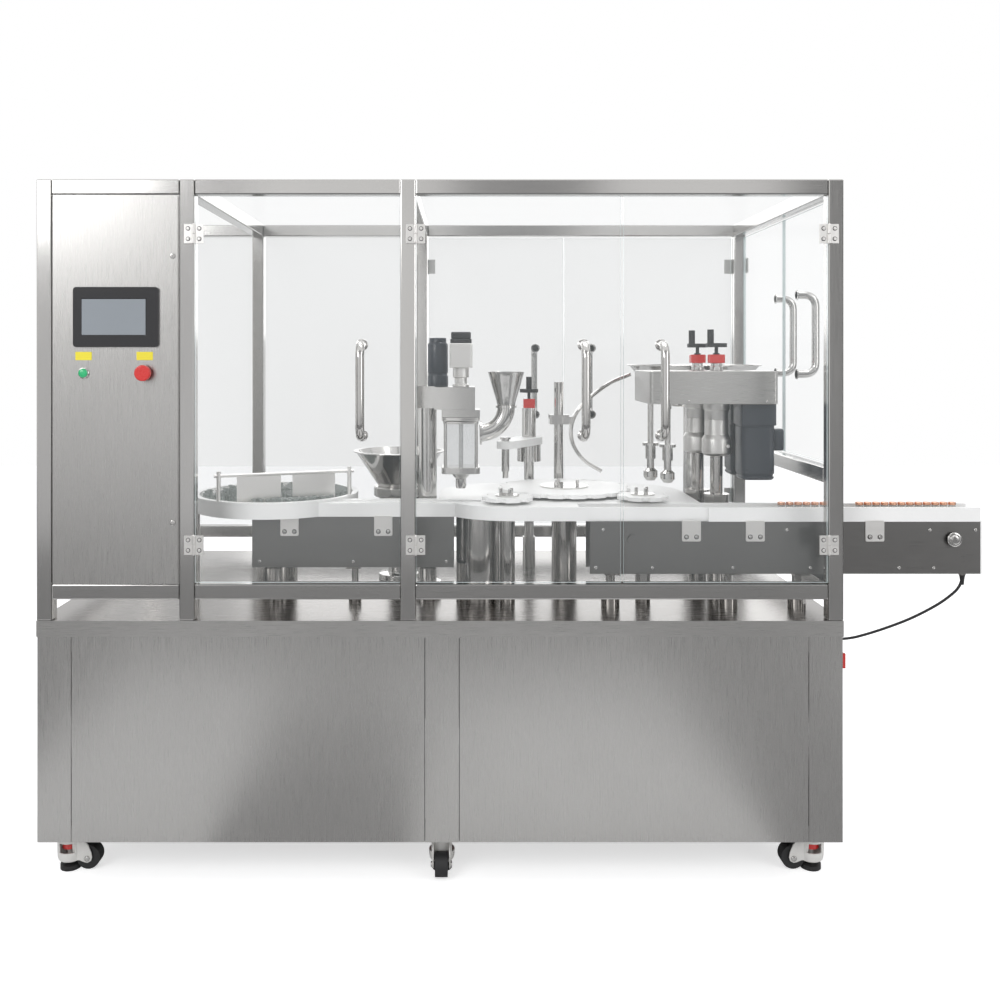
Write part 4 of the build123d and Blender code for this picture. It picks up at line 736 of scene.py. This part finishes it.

# %% [markdown]
# Small fittings on the conveyor plates: leaves of the brackets that hold the white rails,
# two screws in each, rows of panel screws and the end shaft's round cap.
# Black strips behind the cabinet's seams keep daylight out of the gaps beside the middle pillar; they are
# painted shade, standing for the dark inside of the cabinet.

# %% Conveyor fittings
OUTFEED_FACE, INFEED_FACE = -365, -285
LINE_Y = -320
BRACKETS = [(x, OUTFEED_FACE) for x in (453, 618, 927)] + [(x, INFEED_FACE) for x in (-350, -600)]
SCREW_ROWS = (
    (OUTFEED_FACE, 770, (206, 352, 560, 760, 990, 1080)),
    (INFEED_FACE, 770, (-680, -430, -182)),
    (OUTFEED_FACE, 868, (225, 700, 1070, 1188)),
)
SEAMS, SHADE_STRIP_WIDTH = (-244.4, -147.6), 12


def rail_bracket(x, y, width=49, top=892, drop=54):
    """Bracket leaf in front of the plate, its two screws and the dark rings round them, painted shade of
    their recesses.
    """
    outline = rounded(x, top - drop / 2, width, drop, 4)
    leaf = upright(*slab(outline, 0.2, 2.6, 0.5), y)
    spots = [(x + step, y - 2.6, top - 0.78 * drop) for step in (-13, 13)]
    # Painted shade: a thin dark ring under each screw head stands for the shade in its recess.
    ring = [(0, 0.1), (6.2, 0.1), (6.2, 0.7), (0, 0.7)]
    screws = [screw_front(*spot, 4.4, 3) for spot in spots]
    return [leaf], screws, [disc_front(*spot, ring, 20, 0.1) for spot in spots]


kinds = zip(*[rail_bracket(*place) for place in BRACKETS])
leaves, screws, rings = (join(sum(kind, [])) for kind in kinds)
put("rail_brackets", *leaves, satin_steel)
put("bracket_screws", *screws, turned_steel)
put("bracket_shade_rings", *rings, gloss_black, slot="black_plastic")
plate_screws = [screw_front(x, y, z, 4.2, 2.6) for y, z, row in SCREW_ROWS for x in row]
put("plate_screws", *join(plate_screws), turned_steel)
cap = [(0, 0.3), (19, 0.3), (19, 3.2), (17.5, 4.6), (12, 4.6), (12, 8.4), (9.5, 9.6), (0, 9.6)]
put("end_shaft_cap", *disc_front(1130, -371.5, 844, cap, 40, 0.6), turned_steel, "end_roller")
# Painted shade: black strips behind the panel seams stand for the dark inside of the cabinet seen through
# the gaps.
strips = [
    block((x, side * 445.8, 103), (x + SHADE_STRIP_WIDTH, side * 443.6, 610)) for x in SEAMS for side in (-1, 1)
]
put("seam_shade_strips", *join(strips), black_plastic, "machine", "black_plastic", False)
print("brackets", len(BRACKETS))

# %% [markdown]
# Feeder bowls are spun sheet: a thin cone with a rolled rim, a spiral ledge inside that parts
# climb as the bowl shakes, and a turned base. The ledge is a helix carried round the cone.


# %% Feeder bowls
def bowl(x, y, radius, floor, low, top, base, climbs):
    """Cone wall with a rolled rim, stand, foot, spiral ledge and three stubs under the stand."""
    wall = [
        (0, low), (floor, low), (radius, top - 4), (radius + 7, top - 4), (radius + 8, top - 2.5),
        (radius + 7, top), (radius - 1.5, top), (floor - 3, low + 2.6), (0, low + 2.6),
    ]
    stand = [(0, low - 30), (base, low - 30), (base, low - 0.3), (0, low - 0.3)]
    on_deck = DECK_TOP + 0.1
    foot = [
        (0, on_deck), (60, on_deck), (60, 673), (52, 675), (32, 676), (32, low - 30.3), (0, low - 30.3)
    ]
    parts = [turned(wall, x, y, 96, 0.6), turned(stand, x, y, 72, 3), turned(foot, x, y, 64, 1)]
    share = np.linspace(0.04, 0.94, 46 * climbs)
    turn = 2 * np.pi * climbs * share
    outer = floor - 4 + (radius - floor) * share
    height = low + 4 + (top - low - 8) * share
    inner = outer - 11
    section = ((outer, 0), (inner, 1.5), (inner, 5), (inner + 1.5, 5), (inner + 1.5, 3), (outer, 1.8))
    ledge = np.stack([
        np.column_stack([x + r * np.cos(turn), y + r * np.sin(turn), height + lift]) for r, lift in section
    ], axis=1)
    parts.append((ledge.reshape(-1, 3), grid_faces(len(share), len(section)).tolist()))
    stub = [(0, low - 44), (9, low - 44), (9, low - 30.2), (0, low - 30.2)]
    for k in range(3):
        a = 2 * np.pi * k / 3 + 0.5
        parts.append(turned(stub, x + (base - 14) * np.cos(a), y + (base - 14) * np.sin(a), 20, 1))
    return join(parts)


stopper = put("stopper_bowl", *bowl(-328, 30, 128, 62, 932, 1037, 75, 3), turned_steel)
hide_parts("feeder_bowls")
put("cap_bowl", *bowl(591, 205, 200, 120, 1192, 1291, 95, 3), turned_steel)
print("bowls made")

# %% [markdown]
# The cap chute is two bent rods and a floor strip, so caps slide between the rods.
# Its middle line is a smooth curve through a few points, read off the bowl and the star wheel.

# %% Cap chute
CHUTE = [
    (386, 190, 1262), (322, 176, 1236), (258, 158, 1192), (213, 138, 1147),
    (192, 113, 1100), (195, 90, 1050), (226, 70, 1002), (283, 56, 966),
]
HALF_CHUTE, LIP = 12.5, 9.6


def smooth_path(corners, count=90):
    """Catmull-Rom curve through the corners, sampled evenly in its parameter."""
    c = np.asarray(corners, float)
    c = np.concatenate([2 * c[:1] - c[1:2], c, 2 * c[-1:] - c[-2:-1]])
    t = np.linspace(0, len(c) - 3, count, endpoint=False)
    k = t.astype(int)
    u = (t - k)[:, None]
    a, b, d, e = c[k], c[k + 1], c[k + 2], c[k + 3]
    bend, twist = 2 * a - 5 * b + 4 * d - e, 3 * b - a - 3 * d + e
    return 0.5 * (2 * b + (d - a) * u + bend * u**2 + twist * u**3)


middle = smooth_path(CHUTE)
along = unit(np.gradient(middle, axis=0))
wide = unit(np.cross(np.cross(along, (0, 1, 0.0)), along))
deep = np.cross(along, wide)
section = [
    (-HALF_CHUTE, -2.6), (HALF_CHUTE, -2.6), (HALF_CHUTE, 3.4), (LIP, 3.4),
    (LIP, -0.6), (-LIP, -0.6), (-LIP, 3.4), (-HALF_CHUTE, 3.4),
]
strip = np.stack([middle + w * wide + d * deep for w, d in section], axis=1)
chute_parts = [(strip.reshape(-1, 3), capped(len(middle), len(section)))]
chute_parts += [sweep(middle + w * wide + 5.5 * deep, 2.2, (0, 1, 0.05), 10) for w in (-8.6, 8.6)]
chute_parts.append(block((172, 121, 1110), (204, 144.7, 1131)))
chute = put("cap_chute_channel", *join(chute_parts), turned_steel, smooth=False)
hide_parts("cap_chute")
print("chute length", round(float(np.linalg.norm(np.diff(middle, axis=0), axis=1).sum())), "mm")

# %% [markdown]
# Filling station: a turned funnel with a bent neck feeds a square hopper with a clear front,
# a servo motor turns the auger, and a small geared motor beside it stirs the powder.

# %% Filling station
FILLER = (-143, -225)
HOPPER = (-143.5, -225)
FUNNEL_X = -19.8
NECK_Z, NECK_BEND, NECK_RADIUS = 1108, 72, 23.9
WINDOW_LOW, LID_LOW = 1009, 1143
MOTOR_SEAT = 1234.3
turn = np.linspace(0, np.pi / 2, 20)
neck = np.column_stack([
    FUNNEL_X - NECK_BEND + NECK_BEND * np.sin(turn),
    np.full(len(turn), FILLER[1]),
    NECK_Z + NECK_BEND - NECK_BEND * np.cos(turn),
])
cup = [
    (23.9, 1180), (27, 1196), (33, 1216), (40, 1240), (46, 1262), (49.6, 1272.5), (49.9, 1274.6),
    (47.4, 1274.8), (44, 1262), (38, 1240), (31, 1216), (25, 1196), (21.9, 1180), (21.9, 1172),
]
clamp_ring = [(24, 1176), (28.5, 1177), (28.5, 1183), (24, 1184)]
flange = [(22.2, 0), (33, 0), (33, 5), (24.4, 5.8), (24.2, 9)]
flange_points, flange_faces = lathe(flange, NECK_Z, FILLER[1], 40)
down, across, left = flange_points.T
flange_points = np.column_stack([left - 91.6, across, 2 * NECK_Z - down])
funnel_parts = [
    sweep(neck, NECK_RADIUS, (0, 1, 0), 36, False),
    lathe(cup, FUNNEL_X, FILLER[1], 56),
    (flange_points, flange_faces),
    lathe(clamp_ring, FUNNEL_X, FILLER[1], 40),
]
funnel = put("filling_funnel_cup", *join(funnel_parts), turned_steel)
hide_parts("filling_funnel")

hopper_parts = [
    slab(rounded(*HOPPER, length, width, 12), low, high, 1.2)
    for length, width, low, high in (
        (103, 90, 1000.2, 1018), (103, 90, LID_LOW, 1153), (96, 84, 1135, 1142)
    )
]
rod = [(0, 1018), (4, 1018), (4, LID_LOW), (0, LID_LOW)]
hopper_parts += [
    turned(rod, HOPPER[0] + i * 42, HOPPER[1] + j * 36, 20, 0.5) for i in (-1, 1) for j in (-1, 1)
]
nozzle = [(10.6, 958), (13, 958), (14.4, 964), (14.4, 984), (22, 992), (28, 1000), (10.6, 1000), (10.6, 958)]
hopper_parts.append(lathe(nozzle, *FILLER, 40))
hopper = put("hopper_frame", *join(hopper_parts), turned_steel)
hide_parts("powder_hopper")
outside, inside = rounded(*HOPPER, 90, 78, 9), rounded(*HOPPER, 84, 72, 6)
rounds = [(inside, WINDOW_LOW), (outside, WINDOW_LOW), (outside, LID_LOW), (inside, LID_LOW)]
rounds.append(rounds[0])
walls = np.concatenate([level(ring, height) for ring, height in rounds])
window_faces = grid_faces(len(rounds), len(outside))
put("hopper_window", walls, window_faces, hopper_acrylic, slot="clear_pane")

housing, *encoder = (
    slab(rounded(*FILLER, size, size, corner), low, high, cut)
    for size, corner, low, high, cut in (
        (62, 6, 1286, 1352, 1), (58, 9, 1352.4, 1364, 1), (54, 8, 1364.4, 1383, 2.5)
    )
)
gearhead = [
    (8.2, MOTOR_SEAT), (23, MOTOR_SEAT), (23, 1240), (17, 1242), (17, 1258),
    (22, 1260), (22, 1285.6), (8.2, 1285.6), (8.2, MOTOR_SEAT),
]
stirrer = [
    (0, MOTOR_SEAT), (29, MOTOR_SEAT), (29, 1262), (27, 1264), (27, 1270), (28.6, 1272),
    (28.6, 1350), (24, 1356), (24, 1368), (0, 1370),
]
motors = put("servo_motor", *join([housing, turned(gearhead, *FILLER, 40, 0.6)]), satin_steel)
put("servo_encoder", *join(encoder), black_plastic, slot="black_plastic")
put("stirrer_motor", *turned(stirrer, -208, -150, 48, 0.8), motor_paint, slot="motor_paint")
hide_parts("filler_motors")
print("filling station made")

# %% [markdown]
# The capping head is a folded housing on two cast sleeves that slide on the lift columns.
# A sleeve is one lathe profile: a thick clamp collar below, a slim barrel, a ring on top.
# Red position dials sit on the housing, under the black knobs that raise and lower it.

# %% Capping head
LIFTS = ((565, -180), (535, -85))
HOUSING_LOW, HOUSING_TOP = 1188, 1277
BORE = 17.4
housing = slab(rounded(538, -142.5, 346, 245, 10), HOUSING_LOW, HOUSING_TOP, 1.6)
housing_piece = put("capper_housing", *housing, sheet_along, "capper_head", "deck_steel")
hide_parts("capper_head")


def on_lifts(name, profile, finish, slot, around, cut):
    """The same turned part on both lift columns."""
    made = [turned(profile, *spot, around, cut) for spot in LIFTS]
    put(name, *join(made), finish, "capper_head", slot)


sleeve = [
    (BORE, 1043), (32, 1043), (40, 1050), (40, 1088), (33, 1100), (32.5, 1101),
    (32.5, 1140), (31.8, 1140.8), (31.8, 1142.2), (32.5, 1143), (32.5, 1167), (35.5, 1170),
    (35.5, 1187.8), (BORE, 1187.8), (BORE, 1043),
]
on_lifts("capper_sleeves", sleeve, cast_metal, "deck_steel", 56, 1.2)
dial_foot = [
    (5.4, 1277.2), (18, 1277.2), (18, 1288), (15.5, 1289), (15.5, 1298), (5.4, 1298), (5.4, 1277.2)
]
on_lifts("dial_feet", dial_foot, turned_steel, "deck_steel", 40, 0.6)
dials = [slab(rounded(x, y, 42, 36, 6), 1298.2, 1322, 1.6) for x, y in LIFTS]
put("position_dials", *join(dials), signal_red, "capper_head", "red_plastic")
dial_cap = [(5.2, 1322.1), (9, 1322.1), (9, 1326), (5.2, 1326), (5.2, 1322.1)]
on_lifts("dial_caps", dial_cap, black_plastic, "black_plastic", 28, 0.4)
screws = [screw_front(x + 22, y - 34, 1071, 6.5, 5) for x, y in LIFTS]
screws += [screw_front(x, -265, 1196, 3.2, 2) for x in (470, 680)]
put("capper_screws", *join(screws), turned_steel, "capper_head")
print("sleeves", len(LIFTS))

# %% [markdown]
# Two induction gear motors hang under the housing. Each is a rounded square drawn upward:
# the gearhead, a thin joint, the long body and a fan cover. The front one has a terminal box.

# %% Capping motors
MOTOR_X = 668
FRONT_MOTOR_Y, BACK_MOTOR_Y = -190, -75
BOX_START, BOX_END = 713.2, 741
# Side, corner radius, lower and upper height, and the cut on the rims, from the gearhead down.
STAGES = (
    (94, 6, 1128.6, 1187.6, 1.4), (88, 12, 1124, 1128.4, 0.4), (90, 18, 996, 1123.8, 1.2),
    (86, 20, 992, 995.8, 0.4), (89, 20, 980, 991.8, 4),
)
motor_parts = [
    slab(rounded(MOTOR_X, y, side, side, corner), low, high, cut)
    for y in (FRONT_MOTOR_Y, BACK_MOTOR_Y)
    for side, corner, low, high, cut in STAGES
]
box_points, box_faces = slab(rounded(FRONT_MOTOR_Y, 1088, 52, 60, 7), BOX_START, BOX_END, 3)
motor_parts.append((box_points[:, [2, 0, 1]], box_faces))
motor_parts += [screw_front(MOTOR_X + i * 36, -235.2, z, 3, 2) for i in (-1, 1) for z in (1008, 1112)]
motors = put("capper_gear_motors", *join(motor_parts), motor_paint, "capper_head", "motor_paint")
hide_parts("capper_motors")
print("motor pieces", len(motor_parts))

# %% [markdown]
# Each capping spindle ends in a sprung head. The spring is a circle carried along a helix,
# and it rides with its spindle, so it turns and rises with it.

# %% Capping springs
SPINDLES = ((380.59, -189.47), (417.05, -241.54))
COILS, COIL_RADIUS, WIRE = 6, 12.4, 1.25
SPRING_LOW, SPRING_LENGTH = 1037, 33
turn = np.linspace(0, 2 * np.pi * COILS, 170)
for number, (x, y) in enumerate(SPINDLES, 1):
    helix = np.column_stack([
        x + COIL_RADIUS * np.cos(turn),
        y + COIL_RADIUS * np.sin(turn),
        SPRING_LOW + SPRING_LENGTH * turn / turn[-1],
    ])
    spring = sweep(helix, WIRE, (0, 0, 1), 8)
    put(f"head_spring_{number}", *spring, turned_steel, f"capping_spindle_{number}")
print("springs", len(SPINDLES))

# %% [markdown]
# Vials in work show what the line is for. A crowd of them waits on the disc, held back by
# the guide plates while the disc slips under them, and capped ones leave along the chain.
# One vial is a lathe profile; the crowd repeats it on a hexagonal grid in one array.

# %% Vials
DISC_TOP, CHAIN_TOP = 910.0, 907.2
VIAL_STEP, ROW_STEP = 18.8, 16.3
CHAIN_STEP = 22.2
GUIDE_CLEAR, INNER_REACH, OUTER_REACH = 14, 48, 202
THIN_BEFORE, THIN_SHARE = -660, 0.55


def repeat(points, faces, spots):
    """Copy one shape to many spots at once: every spot is added to every point."""
    p, f = np.asarray(points, float), np.asarray(faces)
    moved = (p[None] + np.asarray(spots, float)[:, None]).reshape(-1, 3)
    step = np.arange(len(spots))[:, None, None] * len(p)
    return moved, (f[None] + step).reshape(-1, f.shape[1])


vial = [
    (0, 0.2), (8.4, 0.2), (9, 1.4), (9, 17), (5.6, 20), (5.6, 23), (7, 23.4), (7, 26), (4.4, 26),
    (4.4, 21), (0, 21),
]
vial_shape = lathe(vial, 0, 0, 12)
row, column = np.meshgrid(np.arange(-11, 12), np.arange(-12, 13))
spot_x = TURNTABLE[0] + VIAL_STEP * column + VIAL_STEP / 2 * (row % 2)
spot_y = TURNTABLE[1] + ROW_STEP * row
reach = np.hypot(spot_x - TURNTABLE[0], spot_y - TURNTABLE[1])
guide_start, guide_end = np.array([(-786.9, -289.6), (-454.1, -168.1)])
guide_way = unit(guide_end - guide_start)
beyond = (spot_y - guide_start[1]) * guide_way[0] - (spot_x - guide_start[0]) * guide_way[1]
kept = np.random.default_rng(7).random(reach.shape) < np.where(spot_x > THIN_BEFORE, 1.0, THIN_SHARE)
wanted = (reach < OUTER_REACH) & (reach > INNER_REACH) & (np.abs(beyond) > GUIDE_CLEAR) & kept
waiting = level(np.column_stack([spot_x[wanted], spot_y[wanted]]), DISC_TOP)
put("waiting_vials", *repeat(*vial_shape, waiting), vial_glass, slot="clear_pane")
out_x = np.concatenate([np.arange(700, 830, CHAIN_STEP), np.arange(905, 1165, CHAIN_STEP)])
leaving = [(x, LINE_Y, CHAIN_TOP) for x in out_x]
put("leaving_vials", *repeat(*vial_shape, leaving), vial_glass, slot="clear_pane")
crimp = [(0, 19.8), (8.9, 19.6), (9.2, 19.2), (9.7, 19.6), (9.7, 25.8), (9.2, 26.3), (0, 26.3)]
put("crimp_caps", *repeat(*lathe(crimp, 0, 0, 20), leaving), copper)
print("vials", len(waiting) + len(leaving))

# %% [markdown]
# The conveyor's own cable is the one free cord: out of a gland under its end plate, down in a
# slack curve and into the cabinet's side. The photograph shows it from end to end.
# It is a NURBS curve of order three through the same route, in metres, that the solid follows.

# %% Conveyor cable
CABLE_THICK = 0.007
CABLE_ROUTE = [
    (1.176, -0.320, 0.7417), (1.176, -0.320, 0.7137), (1.1322, -0.320, 0.676),
    (1.0883, -0.320, 0.650), (1.0375, -0.320, 0.625), (0.9849, -0.320, 0.605),
    (0.9305, -0.320, 0.587), (0.8733, -0.320, 0.572), (0.8253, -0.320, 0.572),
]
cable_line = bpy.data.curves.new("conveyor_cable_line", "CURVE")
cable_line.dimensions = "3D"
cable_line.bevel_depth = CABLE_THICK / 2
cable_line.bevel_resolution = 4
cable_line.resolution_u = 16
cable_line.use_fill_caps = True
run = cable_line.splines.new("NURBS")
run.points.add(len(CABLE_ROUTE) - 1)
for point, place in zip(run.points, CABLE_ROUTE):
    point.co = (*place, 1)
run.order_u = 3
run.use_endpoint_u = True
cable_line.materials.append(cable_jacket)
cable = bpy.data.objects.new("conveyor_cable_line", cable_line)
scene.collection.objects.link(cable)
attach(cable, "machine")
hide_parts("conveyor_cable")
boot = [
    (3.6, 716), (4.3, 716), (5.0, 724), (6.0, 733), (7.2, 740), (7.6, 741.4), (3.6, 741.4), (3.6, 716)
]
boot_shape = turned(boot, 1176, LINE_Y, 28, 0.3)
relief = put("cable_relief", *boot_shape, cable_jacket, slot="cable_jacket")
print("cable runs through", len(CABLE_ROUTE), "points")

# %% [markdown]
# A levelling caster has a cast bell round its stem, with a hand hole on each side that shows
# the red wheel inside, and two cheeks that run out to the axle.
# The bell is a lathe grid with the hand holes' faces left out, and Solidify gives it a wall.

# %% Casters
CHEEK_OUT, BOLT_OUT = 21.0, 22.6
AXLE_A, AXLE_Z = 50, 32
HOLE_LOW, HOLE_HIGH, HOLE_TURN = 48, 72, 36
CAST_WALL, CAST_EDGE = 3.6, 0.8
BELL = [(24, 23), (29, 27), (31, 36), (31.5, 48), (31.5, 72), (31.5, 82), (33, 88), (36, 94.5)]
CHEEK = [
    (10, 90), (34, 84), (52, 66), (60, 46), (62, 34), (59, 25), (51, 20.5), (42, 22), (30, 27), (14, 27)
]
AXLE_BOLT = [(0, 0), (7, 0), (7, 3), (5.5, 4.4), (0, 4.4)]


def caster_shell(number, x, y, turn):
    """Bell and two cheeks in caster axes (a towards the wheel, b across), then turned about Z."""
    body = f"caster_{number}"
    bell_points, bell_faces = lathe(BELL, 0, 0, 48)
    middle = bell_points[bell_faces].mean(1)
    angle = np.degrees(np.arctan2(middle[:, 1], middle[:, 0]))
    hole = between(middle[:, 2], HOLE_LOW, HOLE_HIGH) & (np.abs(np.abs(angle) - 90) < HOLE_TURN)
    parts, bolts = [(bell_points, bell_faces[~hole].tolist())], []
    for side in (-1, 1):
        cheek = [(a, side * CHEEK_OUT, z) for a, z in CHEEK]
        parts.append((cheek, [list(range(len(CHEEK)))[::side]]))
        head, head_faces = turned(AXLE_BOLT, 0, 0, 20, 0.5)
        head = np.column_stack([
            AXLE_A + head[:, 0], side * (BOLT_OUT + head[:, 2]), AXLE_Z + side * head[:, 1]
        ])
        bolts.append((head, head_faces))
    a = np.radians(turn)
    spin = np.array([[np.cos(a), -np.sin(a), 0], [np.sin(a), np.cos(a), 0], [0, 0, 1]])
    points, faces = join(parts)
    spot = (x, y, 0)
    name = f"caster_shell_{number}"
    shell = put(name, points @ spin.T + spot, faces, cast_paint, body, "caster_cast")
    wall = shell.modifiers.new("wall", "SOLIDIFY")
    wall.thickness = CAST_WALL / 1000
    wall.offset = 0
    round_edges(shell, CAST_EDGE)
    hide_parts(f"caster_body_{number}")
    points, faces = join(bolts)
    put(name + "_bolts", points @ spin.T + spot, faces, turned_steel, body, "caster_cast")


CASTER_Y = 370
CASTERS = [
    (x, side * CASTER_Y, turn)
    for side in (-1, 1)
    for x, turn in ((-1149, 0), (-192, 90 * side), (759, 180))
]
for number, place in enumerate(CASTERS, 1):
    caster_shell(number, *place)
print("casters", len(CASTERS))

# %% [markdown]
# A pale floor takes the soft shadow of the cabinet; it belongs to the studio, not to the machine.
# It glows a little to the camera only, so that it meets the white background without an edge.

# %% Floor
HALF_FLOOR = 9
floor_finish, tree, shader = material("pale_floor")
shader.inputs["Base Color"].default_value = (0.86, 0.86, 0.86, 1)
shader.inputs["Roughness"].default_value = 0.7
glow = add(tree, "Emission", Color=(1, 1, 1, 1), Strength=0.61)
both = feed(tree, add(tree, "AddShader"), shader.outputs[0], glow.outputs[0])
ray = add(tree, "LightPath").outputs["Is Camera Ray"]
shown = feed(tree, add(tree, "MixShader"), ray, shader.outputs[0], both)
feed(tree, tree.nodes["Material Output"], shown)
flat("floor", (0, 0, 0), (HALF_FLOOR, 0, 0), (0, HALF_FLOOR, 0), floor_finish)
print("floor laid")
